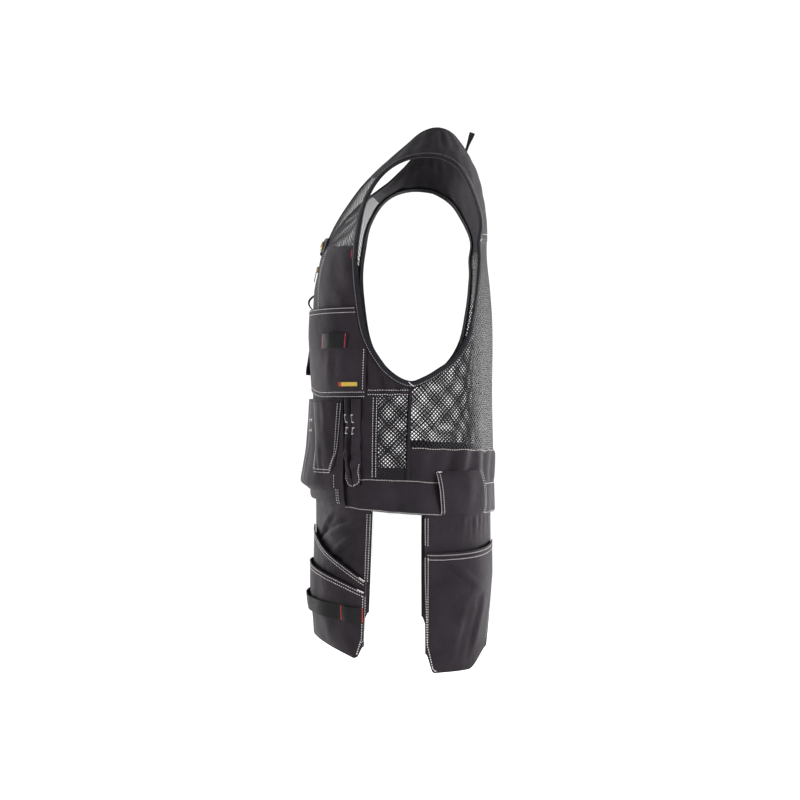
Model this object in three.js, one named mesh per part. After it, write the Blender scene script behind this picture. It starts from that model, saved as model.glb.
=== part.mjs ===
// A utility work vest with holster pockets, in the form that it has when worn.
// Millimetres, +Z up. The front faces -Y and the wearer's left is +X.
// The origin is between the shoulders, level with the top of the two shoulder straps, where the vest sits.
import * as THREE from 'three';

// Driving sizes of the body of the vest
const BODY_LENGTH = 596; // top of the shoulders to the hem
const HALF_WIDTH = 178; // centre plane to the side at the waist
const FRONT_DEPTH = 196; // shoulder line forward to the belly
const BACK_DEPTH = 92; // shoulder line back to the seat of the back

// Walls, edges and gaps
const CLOTH = 1.6; // twill, as one sewn layer
const NET = 1.4; // net
const TAPE = 1.8; // webbing
const BINDING = 2.6; // doubled tape round an edge
const ARMHOLE_BINDING_WIDTH = 9;
const NECK_BINDING_WIDTH = 7;
const SEAM_GAP = 0.6; // between two panels that are sewn edge to edge
const LAYER_GAP = 0.9; // between a panel and what is sewn on it
const SEAT_GAP = 0.2; // between a small piece or the ends of a loop and what it is set on

// Front closing
const ZIP_WIDTH = 14;
const SLIDER_WIDTH = 8;
const SLIDER_LENGTH = 26;
const SLIDER_DEPTH = 3;
const SNAP_RADIUS = 8;
const SNAP_HEIGHT = 3;
const SNAP_TAB_LIFT = 2.5;

// Pockets and loops: how far each stands off what it is sewn on, and its own lengths
const CHEST_POCKET_FULLNESS = 10;
const FLAP_FULLNESS = 8;
const UNDER_POCKET_FULLNESS = 7;
const NAIL_POCKET_FULLNESS = 14;
const NAIL_POCKET_MOUTH = 4;
const PHONE_POCKET_FULLNESS = 8;
const TOOL_TUBE_FULLNESS = 9;
const HOLSTER_FULLNESS = 10;
const HOLSTER_POCKET_FULLNESS = 8;
const BACK_POCKET_FULLNESS = 12;
const BELT_LOOP_FULLNESS = 6.5;
const WEBBING_WIDTH = 22;
const WEBBING_FULLNESS = 7.5;
const SIDE_TAPE_WIDTH = 5;
const FRONT_HOLSTER_LENGTH = 213; // below the hem
const BACK_HOLSTER_LENGTH = 228;
const HOLSTER_CORNER = 22; // height of the cut corners
const HANG_LOOP_HALF_WIDTH = 13;
const HANG_LOOP_HEIGHT = 34;
const HANG_LOOP_LEAN = 12;
const HANG_LOOP_TAPE = 8;
const FRONT_LOOP_LENGTH = 26;
const FRONT_LOOP_DEPTH = 9;
const LABEL_HEIGHT = 8;
const LABEL_LENGTH = 34;
const CHEST_WEBBING_LENGTH = 50;

// Level sections of the body. drop is a share of BODY_LENGTH; half, front, side and back are shares of
// HALF_WIDTH, FRONT_DEPTH, FRONT_DEPTH and BACK_DEPTH; the two powers say how square the oval is.
const LEVELS = [
  { drop: -0.02, half: 0.34, front: 0.13, side: 0, back: 0.2, frontPower: 2.2, backPower: 2.2 },
  { drop: 0, half: 0.42, front: 0.18, side: 0, back: 0.3, frontPower: 2.2, backPower: 2.2 },
  { drop: 0.034, half: 0.6, front: 0.27, side: 0, back: 0.44, frontPower: 2.2, backPower: 2.2 },
  { drop: 0.084, half: 0.87, front: 0.42, side: 0, back: 0.61, frontPower: 2.2, backPower: 2.3 },
  { drop: 0.126, half: 1.05, front: 0.54, side: 0.01, back: 0.71, frontPower: 2.2, backPower: 2.4 },
  { drop: 0.168, half: 1.1, front: 0.65, side: 0.025, back: 0.78, frontPower: 2.2, backPower: 2.5 },
  { drop: 0.252, half: 1.08, front: 0.82, side: 0.06, back: 0.85, frontPower: 2.2, backPower: 2.8 },
  { drop: 0.336, half: 1.03, front: 0.925, side: 0.11, back: 0.85, frontPower: 2.2, backPower: 3 },
  { drop: 0.42, half: 1, front: 0.975, side: 0.155, back: 0.9, frontPower: 2.2, backPower: 2.8 },
  { drop: 0.503, half: 0.985, front: 0.99, side: 0.19, back: 0.93, frontPower: 2.2, backPower: 2.6 },
  { drop: 0.671, half: 0.985, front: 0.99, side: 0.23, back: 0.945, frontPower: 2.2, backPower: 2.4 },
  { drop: 0.839, half: 0.995, front: 0.98, side: 0.25, back: 0.98, frontPower: 2.2, backPower: 2.3 },
  { drop: 1, half: 1, front: 0.97, side: 0.26, back: 0.99, frontPower: 2.2, backPower: 2.3 },
  { drop: 1.42, half: 1, front: 0.97, side: 0.26, back: 0.99, frontPower: 2.2, backPower: 2.3 },
];

// Soft folds of the whole body. angle and drop are the middle of a fold, wide its half width in degrees,
// long its half length as a share of BODY_LENGTH, and height a share of HALF_WIDTH, outwards when positive.
const FOLDS = [
  { angle: 104, drop: 0.93, wide: 6, long: 0.1, height: 0.016 },
  { angle: 117, drop: 0.86, wide: 6, long: 0.12, height: -0.014 },
  { angle: 130, drop: 0.6, wide: 7, long: 0.2, height: 0.014 },
  { angle: 152, drop: 0.72, wide: 8, long: 0.22, height: -0.016 },
  { angle: 166, drop: 0.55, wide: 8, long: 0.16, height: 0.016 },
  { angle: 84, drop: 0.95, wide: 6, long: 0.07, height: -0.014 },
  { angle: 80, drop: 0.8, wide: 7, long: 0.1, height: 0.012 },
  { angle: 34, drop: 0.4, wide: 12, long: 0.06, height: 0.012 },
  { angle: 140, drop: 0.31, wide: 9, long: 0.03, height: -0.02 },
  { angle: 128, drop: 1.2, wide: 9, long: 0.08, height: 0.02 },
  { angle: 46, drop: 1.06, wide: 10, long: 0.05, height: 0.02 },
];

// Edge of the armhole. turn goes once round it: up at 0, forward at 90, down at 180 and back at 270.
// angle is in degrees round the body from the front, drop a share of BODY_LENGTH.
const ARMHOLE = [
  { turn: -20, angle: 118.5, drop: 0.148 },
  { turn: 0, angle: 92.6, drop: 0.112 },
  { turn: 20, angle: 65.5, drop: 0.109 },
  { turn: 40, angle: 48.1, drop: 0.137 },
  { turn: 60, angle: 45.4, drop: 0.196 },
  { turn: 80, angle: 50.7, drop: 0.278 },
  { turn: 100, angle: 54.5, drop: 0.355 },
  { turn: 120, angle: 59.2, drop: 0.439 },
  { turn: 140, angle: 65.5, drop: 0.544 },
  { turn: 160, angle: 76, drop: 0.619 },
  { turn: 170, angle: 84.3, drop: 0.65 },
  { turn: 180, angle: 92, drop: 0.6612 },
  { turn: 190, angle: 99.2, drop: 0.6515 },
  { turn: 200, angle: 106, drop: 0.6365 },
  { turn: 220, angle: 118.7, drop: 0.599 },
  { turn: 240, angle: 127.2, drop: 0.54 },
  { turn: 260, angle: 132.3, drop: 0.457 },
  { turn: 280, angle: 136.3, drop: 0.375 },
  { turn: 300, angle: 139.4, drop: 0.305 },
  { turn: 320, angle: 136.7, drop: 0.237 },
  { turn: 340, angle: 118.5, drop: 0.148 },
  { turn: 360, angle: 92.6, drop: 0.112 },
  { turn: 380, angle: 65.5, drop: 0.109 },
];

// Edge of the neck, from the bottom of the V at the front, over the shoulder, to the centre of the back.
const NECK = [
  { along: 0, angle: 3.2, drop: 0.29 },
  { along: 15, angle: 8, drop: 0.247 },
  { along: 30, angle: 14, drop: 0.2 },
  { along: 43, angle: 21, drop: 0.155 },
  { along: 53, angle: 29, drop: 0.122 },
  { along: 61, angle: 36.5, drop: 0.093 },
  { along: 68, angle: 43, drop: 0.061 },
  { along: 75, angle: 55, drop: 0.02 },
  { along: 83, angle: 90, drop: 0.004 },
  { along: 90, angle: 134, drop: 0.016 },
  { along: 95, angle: 151, drop: 0.042 },
  { along: 100, angle: 180, drop: 0.052 },
];

// Seam of the waist and the hem round the body: levels as shares of BODY_LENGTH.
const HEM = [
  { angle: 0, top: 0.903, bottom: 0.966 },
  { angle: 58, top: 0.904, bottom: 0.98 },
  { angle: 88, top: 0.905, bottom: 0.989 },
  { angle: 113, top: 0.912, bottom: 0.995 },
  { angle: 146, top: 0.92, bottom: 0.998 },
  { angle: 180, top: 0.92, bottom: 1 },
];

// Other seams and marks: turns of the armhole, positions along the neck, angles and levels
const NECK_CREST_ALONG = 83;
const FRONT_YOKE_TURN = 47;
const FRONT_YOKE_ALONG = 50;
const BACK_YOKE_TURN = 303;
const YOKE_CENTRE = 0.29;
const YOKE_TURNS_INTO_BACK = -32; // past this turn the yoke is whole across the back
const CHEST_TURN = 92;
const CHEST_CENTRE = 0.302;
const SIDE_SEAM_TURN = 180;
const SIDE_SEAM_ANGLE = 92;
const POCKET_SEAM = 0.697; // bottom of the chest panel
const STRIP_ANGLE = 71.5; // seam between the lower front and the net beside it
const WAIST_SIDE = 0.824; // top of the waist panel at the side seam
const WAIST_CENTRE = 0.84;

// Rows of cells along each edge, shared by the panels and the tape that is bound along them
const FRONT_NET_ROWS = 9;
const CHEST_ROWS = 10;
const CHEST_STRIP_ROWS = 1;
const BACK_NET_ROWS = 14;
const BACK_SIDE_ROWS = 3;
const YOKE_NECK_ROWS = 18;
const YOKE_BACK_ROWS = 4;

// Power of the round form of pockets and loops: 1 is a plain wave, less is fuller at its sides
const ROUND_POWER = 0.8;
const LOOP_POWER = 0.7;
const LOOP_SEAM = 0.06; // share of a loop's length that is sewn flat at each end

const NET_COLOUR = 0x242327;
const TWILL_COLOUR = 0x36343a;
const BINDING_COLOUR = 0x29292c;
const BRASS_COLOUR = 0x8a7a55;
const LABEL_COLOUR = 0xb59a3c;

const lerp = THREE.MathUtils.lerp;
const clamp = THREE.MathUtils.clamp;

/** The columns of a table at one value of its key, on a smooth curve through the rows. */
function readTable(rows, key, value) {
  const last = rows.length - 1;
  const at = clamp(value, rows[0][key], rows[last][key]);
  let k = 0;
  while (k < last - 1 && at > rows[k + 1][key]) k += 1;
  const span = rows[k + 1][key] - rows[k][key];
  const x = (at - rows[k][key]) / span;
  const slope = (row, column) => {
    const before = rows[Math.max(row - 1, 0)];
    const after = rows[Math.min(row + 1, last)];
    return ((after[column] - before[column]) / (after[key] - before[key])) * span;
  };
  const result = {};
  for (const column of Object.keys(rows[0])) {
    const start = rows[k][column];
    const rise = rows[k + 1][column] - start;
    const into = slope(k, column);
    const out = slope(k + 1, column);
    const bend = 3 * rise - 2 * into - out;
    result[column] = start + x * into + x ** 2 * bend + x ** 3 * (into + out - 2 * rise);
  }
  return result;
}

/** Height of the soft folds at a spot. */
function foldHeight({ angle, drop }) {
  const round = Math.abs(angle);
  let height = 0;
  for (const fold of FOLDS) {
    const aside = (round - fold.angle) / fold.wide;
    const along = (drop - fold.drop) / fold.long;
    height += fold.height * HALF_WIDTH * Math.exp(-aside * aside - along * along);
  }
  return height;
}

/** The point of the plain oval body at a spot, without its folds. */
function ovalPoint({ angle, drop }) {
  const level = readTable(LEVELS, 'drop', drop);
  const turn = THREE.MathUtils.degToRad(angle);
  const aside = Math.sin(turn);
  const ahead = Math.cos(turn);
  const power = ahead >= 0 ? level.frontPower : level.backPower;
  const reach = (Math.abs(aside) ** power + Math.abs(ahead) ** power) ** (-1 / power);
  const side = -level.side * FRONT_DEPTH;
  const end = ahead >= 0 ? -level.front * FRONT_DEPTH : level.back * BACK_DEPTH;
  return new THREE.Vector3(
    level.half * HALF_WIDTH * reach * aside,
    side + (end - side) * reach * Math.abs(ahead),
    -drop * BODY_LENGTH,
  );
}

/** The two directions of the body at a spot, for one degree and for one share of drop. */
function directions({ angle, drop }) {
  const degree = 0.5;
  const share = 0.002;
  const round = ovalPoint({ angle: angle + degree, drop }).sub(ovalPoint({ angle: angle - degree, drop }));
  const down = ovalPoint({ angle, drop: drop + share }).sub(ovalPoint({ angle, drop: drop - share }));
  return { round: round.divideScalar(2 * degree), down: down.divideScalar(2 * share) };
}

/** Outward direction of the body at a spot. */
function outward(spot) {
  const { round, down } = directions(spot);
  return down.cross(round).normalize();
}

/** The point at a height over the body. */
function bodyPoint(spot, height = 0) {
  return ovalPoint(spot).addScaledVector(outward(spot), height + foldHeight(spot));
}

/** The spot that lies some millimetres beside a curve of spots, on the side away from its opening. */
function beside(curve, at, width) {
  const here = curve(at);
  const { round, down } = directions(here);
  const along = ovalPoint(curve(at + 0.5)).sub(ovalPoint(curve(at - 0.5)));
  const shift = along.cross(outward(here)).setLength(width);
  const a = round.dot(round);
  const b = round.dot(down);
  const c = down.dot(down);
  const p = round.dot(shift);
  const q = down.dot(shift);
  const whole = a * c - b * b;
  return { angle: here.angle + (c * p - b * q) / whole, drop: here.drop + (a * q - b * p) / whole };
}

/** A spot at some distance outside the armhole's edge. */
function armhole(turn, width = 0) {
  const wrapped = ((turn % 360) + 360) % 360;
  const curve = (at) => readTable(ARMHOLE, 'turn', at);
  return beside(curve, wrapped, width);
}

/** A spot at some distance outside the neck's edge. */
function neck(along, width = 0) {
  const spot = beside((at) => readTable(NECK, 'along', at), along, width);
  return along >= 100 ? { angle: 180, drop: spot.drop } : spot;
}

/** A value that runs through some marks, with a given number of equal rows between each two. */
function throughMarks(marks, rows) {
  const total = rows.reduce((sum, count) => sum + count, 0);
  return (share) => {
    let row = share * total;
    let k = 0;
    while (k < rows.length - 1 && row > rows[k]) {
      row -= rows[k];
      k += 1;
    }
    return lerp(marks[k], marks[k + 1], row / rows[k]);
  };
}

// Height of a panel's outer face over the body, with the gap to what is sewn on it.
const panelFace = CLOTH + LAYER_GAP;

const armholeEdge = (turn) => armhole(turn, ARMHOLE_BINDING_WIDTH);
const neckEdge = (along) => neck(along, NECK_BINDING_WIDTH);

/** The angle at which the front of the body is some millimetres from the centre plane. */
function frontAngle(x, drop) {
  const level = readTable(LEVELS, 'drop', drop);
  const share = x / (level.half * HALF_WIDTH);
  const ahead = (1 - Math.abs(share) ** level.frontPower) ** (1 / level.frontPower);
  return THREE.MathUtils.radToDeg(Math.atan2(share, ahead));
}

const centreEdge = (drop) => frontAngle(ZIP_WIDTH / 2, drop);
const hemTop = (angle) => readTable(HEM, 'angle', Math.abs(angle)).top;
const hemBottom = (angle) => readTable(HEM, 'angle', Math.abs(angle)).bottom;
const mix = (from, to, share) => ({
  angle: lerp(from.angle, to.angle, share),
  drop: lerp(from.drop, to.drop, share),
});

/** Angle of the outer edge of the armhole's binding at a level of its front branch. */
function armholeFrontAngle(drop) {
  let low = CHEST_TURN;
  let high = SIDE_SEAM_TURN;
  for (let k = 0; k < 24; k += 1) {
    const middle = (low + high) / 2;
    if (armholeEdge(middle).drop < drop) low = middle;
    else high = middle;
  }
  return armholeEdge(low).angle;
}

/** The seam over the chest, as a level at an angle. */
function chestSeam(angle) {
  const outer = armholeEdge(CHEST_TURN);
  return lerp(CHEST_CENTRE, outer.drop, angle / outer.angle);
}

/** A smooth hump that is 0 at both ends of 0 to 1 and 1 between, steeper for a smaller power. */
const hump = (share, power = 1) => Math.sin(Math.PI * clamp(share, 0, 1)) ** power;

/** Share of its fullness that a loop has at a share of its length, flat where its ends are sewn. */
const loopHeight = (share, power = LOOP_POWER) => hump((share - LOOP_SEAM) / (1 - 2 * LOOP_SEAM), power);

/** A smooth step from 0 to 1. */
const ease = (share) => THREE.MathUtils.smoothstep(share, 0, 1);

/**
 * A thin piece that follows the body, as a grid of cells with an inner and an outer face.
 * spot(s, t) is its place, s across and t down; lift(spot, s, t) is the height of its inner face.
 * open(i, j) says which cells are gaps; closed joins its two ends; joined mirrors it at the back's centre.
 */
function sheet({
  across,
  down,
  spot,
  lift = () => 0,
  wall = CLOTH,
  open = () => false,
  closed = false,
  joined = false,
}) {
  const length = (at) => {
    let sum = 0;
    for (let k = 0; k < 6; k += 1) sum += ovalPoint(at(k / 6)).distanceTo(ovalPoint(at((k + 1) / 6)));
    return sum;
  };
  const atCentre = (j) => joined && spot(1, j / down).angle >= 180;
  const columns = closed ? across : across + 1;
  const points = [];
  const id = (layer, i, j) => (layer * (down + 1) + j) * columns + (i % columns);
  for (const layer of [0, 1]) {
    for (let j = 0; j <= down; j += 1) {
      const rowGap = closed ? 0 : SEAM_GAP / 2 / length((x) => spot(x, j / down));
      for (let i = 0; i < columns; i += 1) {
        const s = clamp(i / across, rowGap, atCentre(j) ? 1 : 1 - rowGap);
        const columnGap = SEAM_GAP / 2 / length((x) => spot(s, x));
        const t = clamp(j / down, columnGap, 1 - columnGap);
        const place = spot(s, t);
        const point = bodyPoint(place, lift(place, s, t) + layer * wall);
        if (atCentre(j) && i === across) point.x = 0;
        points.push(point);
      }
    }
  }
  const faces = [];
  const quad = (a, b, c, d) => faces.push([a, b, c], [a, c, d]);
  const inside = (i, j) => j >= 0 && j < down && (closed || (i >= 0 && i < across));
  const filled = (i, j) => inside(i, j) && !open((i + across) % across, j);
  for (let j = 0; j < down; j += 1) {
    for (let i = 0; i < across; i += 1) {
      if (!filled(i, j)) continue;
      quad(id(1, i, j), id(1, i, j + 1), id(1, i + 1, j + 1), id(1, i + 1, j));
      quad(id(0, i, j), id(0, i + 1, j), id(0, i + 1, j + 1), id(0, i, j + 1));
      if (!filled(i, j - 1)) quad(id(0, i, j), id(1, i, j), id(1, i + 1, j), id(0, i + 1, j));
      if (!filled(i, j + 1)) quad(id(0, i, j + 1), id(0, i + 1, j + 1), id(1, i + 1, j + 1), id(1, i, j + 1));
      if (!filled(i - 1, j)) quad(id(0, i, j), id(0, i, j + 1), id(1, i, j + 1), id(1, i, j));
      const mirrorsHere = i === across - 1 && atCentre(j) && atCentre(j + 1);
      if (!filled(i + 1, j) && !mirrorsHere) {
        quad(id(0, i + 1, j), id(1, i + 1, j), id(1, i + 1, j + 1), id(0, i + 1, j + 1));
      }
    }
  }
  return solid(points, faces, joined);
}

/** A geometry of points and faces with its faces out, doubled at the centre plane where asked. */
function solid(points, faces, doubled = false) {
  const all = points.map((point) => point.clone());
  const index = faces.map((face) => [...face]);
  if (doubled) {
    const twin = points.map((point) => {
      if (point.x === 0) return points.indexOf(point);
      return all.push(new THREE.Vector3(-point.x, point.y, point.z)) - 1;
    });
    for (const [a, b, c] of faces) index.push([twin[a], twin[c], twin[b]]);
  }
  let volume = 0;
  for (const [a, b, c] of index) volume += all[a].dot(all[b].clone().cross(all[c]));
  const turned = volume < 0 ? index.map(([a, b, c]) => [a, c, b]) : index;
  const geometry = new THREE.BufferGeometry().setFromPoints(all);
  geometry.setIndex(turned.flat());
  geometry.computeVertexNormals();
  return geometry;
}

/** The other side's copy of a piece. */
function mirrored(geometry) {
  const position = geometry.getAttribute('position');
  const points = [];
  for (let k = 0; k < position.count; k += 1) {
    points.push(new THREE.Vector3(-position.getX(k), position.getY(k), position.getZ(k)));
  }
  const corners = geometry.getIndex().array;
  const faces = [];
  for (let k = 0; k < corners.length; k += 3) faces.push([corners[k], corners[k + 2], corners[k + 1]]);
  return solid(points, faces);
}

const vest = new THREE.Group();
vest.name = 'utility_work_vest';

/** Adds one piece to the vest. */
function add(name, geometry, color, roughness = 0.9, metalness = 0) {
  const mesh = new THREE.Mesh(geometry, new THREE.MeshStandardMaterial({ color, roughness, metalness }));
  mesh.name = name;
  vest.add(mesh);
}

/** Adds a piece on the wearer's left and its mirror image on the right. */
function addPair(name, geometry, color) {
  add(`${name}_L`, geometry, color);
  add(`${name}_R`, mirrored(geometry), color);
}

/** Which cells of a net are gaps: every other odd cell, so that no two gaps touch. */
const netGap = (i, j) => i % 2 === 1 && j % 2 === 1 && (i + j) % 4 === 2;

/** Yoke over both shoulders and the top of the back, in one piece. */
function shoulderYoke() {
  const rows = [YOKE_NECK_ROWS, YOKE_BACK_ROWS];
  const down = YOKE_NECK_ROWS + YOKE_BACK_ROWS;
  const turnAt = throughMarks([FRONT_YOKE_TURN, YOKE_TURNS_INTO_BACK, BACK_YOKE_TURN - 360], rows);
  const innerAt = throughMarks([FRONT_YOKE_ALONG, 100, 200], rows);
  const spot = (s, t) => {
    const along = innerAt(t);
    const inner = along < 100
      ? neckEdge(along)
      : mix(neckEdge(100), { angle: 180, drop: YOKE_CENTRE }, (along - 100) / 100);
    return mix(armholeEdge(turnAt(t)), inner, s);
  };
  add('shoulder_yoke', sheet({ across: 4, down, spot, joined: true }), TWILL_COLOUR);
}

/** Net over the front of the shoulder, from the yoke to the chest. */
function frontNet() {
  const spot = (s, t) => {
    const outer = armholeEdge(lerp(FRONT_YOKE_TURN, CHEST_TURN, t));
    const edge = neckEdge(lerp(FRONT_YOKE_ALONG, 0, t));
    const inner = { angle: edge.angle, drop: Math.min(edge.drop, chestSeam(edge.angle)) };
    if (t === 1) inner.drop = chestSeam(edge.angle);
    return mix(inner, outer, s);
  };
  const geometry = sheet({ across: 7, down: FRONT_NET_ROWS, spot, wall: NET, open: netGap });
  addPair('front_net', geometry, NET_COLOUR);
}

/** Twill of the chest, down to the bottom of the chest pocket, with the strip below the armhole. */
function chestPanel() {
  const down = CHEST_ROWS + CHEST_STRIP_ROWS;
  const armholeRows = CHEST_ROWS / down;
  const spot = (s, t) => {
    const bottom = { angle: SIDE_SEAM_ANGLE, drop: POCKET_SEAM };
    const outer = t < armholeRows
      ? armholeEdge(lerp(CHEST_TURN, SIDE_SEAM_TURN, t / armholeRows))
      : mix(armholeEdge(SIDE_SEAM_TURN), bottom, (t - armholeRows) / (1 - armholeRows));
    const top = armholeEdge(CHEST_TURN).drop;
    const drop = lerp(chestSeam(0), POCKET_SEAM, (outer.drop - top) / (POCKET_SEAM - top));
    return mix({ angle: centreEdge(drop), drop }, outer, s);
  };
  addPair('chest_panel', sheet({ across: 6, down, spot }), TWILL_COLOUR);
}

/** Twill of the lower front, behind the big pockets. */
function lowerFront() {
  const spot = (s, t) => {
    const start = centreEdge(POCKET_SEAM);
    const angle = lerp(start, STRIP_ANGLE, s);
    return { angle, drop: lerp(POCKET_SEAM, hemTop(angle), t) };
  };
  addPair('lower_front', sheet({ across: 8, down: 3, spot }), TWILL_COLOUR);
}

/** Net between the lower front and the side seam. */
function sideNet() {
  const spot = (s, t) => {
    const angle = lerp(STRIP_ANGLE, SIDE_SEAM_ANGLE, s);
    return { angle, drop: lerp(POCKET_SEAM, hemTop(angle), t) };
  };
  addPair('side_net', sheet({ across: 5, down: 7, spot, wall: NET, open: netGap }), NET_COLOUR);
}

/** Net of the back, from the yoke to the waist, in one piece from side seam to side seam. */
function backNet() {
  const down = BACK_NET_ROWS + BACK_SIDE_ROWS;
  const armholeRows = BACK_NET_ROWS / down;
  const top = armholeEdge(BACK_YOKE_TURN).drop;
  const bottom = { angle: SIDE_SEAM_ANGLE, drop: WAIST_SIDE };
  const spot = (s, t) => {
    const outer = t < armholeRows
      ? armholeEdge(lerp(BACK_YOKE_TURN, SIDE_SEAM_TURN, t / armholeRows))
      : mix(armholeEdge(SIDE_SEAM_TURN), bottom, (t - armholeRows) / (1 - armholeRows));
    const share = (outer.drop - top) / (WAIST_SIDE - top);
    return mix(outer, { angle: 180, drop: lerp(YOKE_CENTRE, WAIST_CENTRE, share) }, s);
  };
  const geometry = sheet({ across: 11, down, spot, wall: NET, open: netGap, joined: true });
  add('back_net', geometry, NET_COLOUR);
}

/** Twill round the back of the waist, between the side seams. */
function waistPanel() {
  const spot = (s, t) => {
    const angle = lerp(SIDE_SEAM_ANGLE, 180, s);
    return { angle, drop: lerp(lerp(WAIST_SIDE, WAIST_CENTRE, s), hemTop(angle), t) };
  };
  add('waist_panel', sheet({ across: 11, down: 2, spot, joined: true }), TWILL_COLOUR);
}

/** Band round the hem, from one side of the zip to the other. */
function hemBand() {
  const spot = (s, t) => {
    const angle = lerp(centreEdge(HEM[0].top), 180, s);
    return { angle, drop: lerp(hemTop(angle), hemBottom(angle), t) };
  };
  add('hem_band', sheet({ across: 22, down: 2, spot, joined: true }), TWILL_COLOUR);
}

/** Tape bound round each armhole. */
function armholeBinding() {
  const marks = [
    BACK_YOKE_TURN - 360,
    YOKE_TURNS_INTO_BACK,
    FRONT_YOKE_TURN,
    CHEST_TURN,
    SIDE_SEAM_TURN,
    BACK_YOKE_TURN,
  ];
  const rows = [YOKE_BACK_ROWS, YOKE_NECK_ROWS, FRONT_NET_ROWS, CHEST_ROWS, BACK_NET_ROWS];
  const turnAt = throughMarks(marks, rows);
  const across = rows.reduce((sum, count) => sum + count, 0);
  const spot = (s, t) => armhole(turnAt(s), ARMHOLE_BINDING_WIDTH * t);
  addPair('armhole_binding', sheet({ across, down: 1, spot, wall: BINDING, closed: true }), BINDING_COLOUR);
}

/** Tape bound round the neck, from one side of the V to the other. */
function neckBinding() {
  const alongAt = throughMarks([0, FRONT_YOKE_ALONG, 100], [FRONT_NET_ROWS, YOKE_NECK_ROWS]);
  const spot = (s, t) => neck(alongAt(s), NECK_BINDING_WIDTH * t);
  const across = FRONT_NET_ROWS + YOKE_NECK_ROWS;
  add('neck_binding', sheet({ across, down: 1, spot, wall: BINDING, joined: true }), BINDING_COLOUR);
}

/** Tape over each side seam. */
function sideTape() {
  const spot = (s, t) => {
    const drop = lerp(armholeEdge(SIDE_SEAM_TURN).drop, HEM[2].top, t);
    const half = THREE.MathUtils.radToDeg(SIDE_TAPE_WIDTH / 2 / HALF_WIDTH);
    return { angle: SIDE_SEAM_ANGLE + lerp(-half, half, s), drop };
  };
  const lift = () => CLOTH + LAYER_GAP;
  addPair('side_tape', sheet({ across: 1, down: 7, spot, lift, wall: CLOTH }), BINDING_COLOUR);
}

/** Hidden zip down the front, closed, as one plain strip, with its slider. */
function frontZip() {
  const top = chestSeam(0);
  const bottom = HEM[0].bottom;
  const spot = (s, t) => {
    const drop = lerp(top, bottom, t);
    return { angle: lerp(-1, 1, s) * centreEdge(drop), drop };
  };
  add('front_zip', sheet({ across: 2, down: 9, spot }), BINDING_COLOUR, 0.6);
  const slider = { top: 0.35, narrow: 0.6, arch: 0.5 };
  const sliderSpot = (s, t) => {
    const drop = slider.top + (t * SLIDER_LENGTH) / BODY_LENGTH;
    const half = (SLIDER_WIDTH / 2) * lerp(1, slider.narrow, t);
    return { angle: lerp(-1, 1, s) * frontAngle(half, drop), drop };
  };
  const lift = (place, s, t) => CLOTH + SEAT_GAP + SLIDER_DEPTH * slider.arch * hump(t);
  const geometry = sheet({ across: 2, down: 4, spot: sliderSpot, lift, wall: SLIDER_DEPTH });
  add('zip_slider', geometry, BRASS_COLOUR, 0.4, 0.8);
}

/** Share of its fullness that a pocket has at a place: most below its mouth, none at its sides and bottom. */
function fullnessAt(s, t, fall, atMouth) {
  return hump(s, ROUND_POWER) * (1 - t ** fall) * lerp(atMouth, 1, hump(t));
}

/** Height of the inner face of the chest pocket. */
function chestPocketLift(s, t) {
  return panelFace + CHEST_POCKET_FULLNESS * fullnessAt(s, t, 2, 0.75);
}

const CHEST_POCKET = { top: 0.475, bottom: 0.693, start: 3.6, end: 66, rise: 0.018 };

/** Place of the chest pocket: its outer edge follows the armhole, then runs straight down. */
function chestPocketSpot(s, t) {
  const level = lerp(CHEST_POCKET.top, CHEST_POCKET.bottom, t);
  const end = Math.min(CHEST_POCKET.end, armholeFrontAngle(level) - 0.4);
  const angle = lerp(CHEST_POCKET.start, end, s);
  return { angle, drop: level - CHEST_POCKET.rise * t * (1 - ease(s / 0.5)) };
}

/** Adds a small piece on the left chest pocket: middle in shares of the pocket, size in millimetres. */
function onChestPocket(name, { middle, width, height }, wall, color, fullness, across) {
  const rowEnds = [0, 1].map((s) => ovalPoint(chestPocketSpot(s, middle.t)));
  const rowWidth = rowEnds[0].distanceTo(rowEnds[1]);
  const pocketHeight = (CHEST_POCKET.bottom - CHEST_POCKET.top) * BODY_LENGTH;
  const shares = (s, t) => ({
    s: middle.s + ((s - 0.5) * width) / rowWidth,
    t: middle.t + ((t - 0.5) * height) / pocketHeight,
  });
  const spot = (s, t) => {
    const at = shares(s, t);
    return chestPocketSpot(at.s, at.t);
  };
  const lift = (place, s, t) => {
    const at = shares(s, t);
    return chestPocketLift(at.s, at.t) + CLOTH + SEAT_GAP + fullness * loopHeight(s);
  };
  add(name, sheet({ across, down: 2, spot, lift, wall }), color);
}

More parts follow.
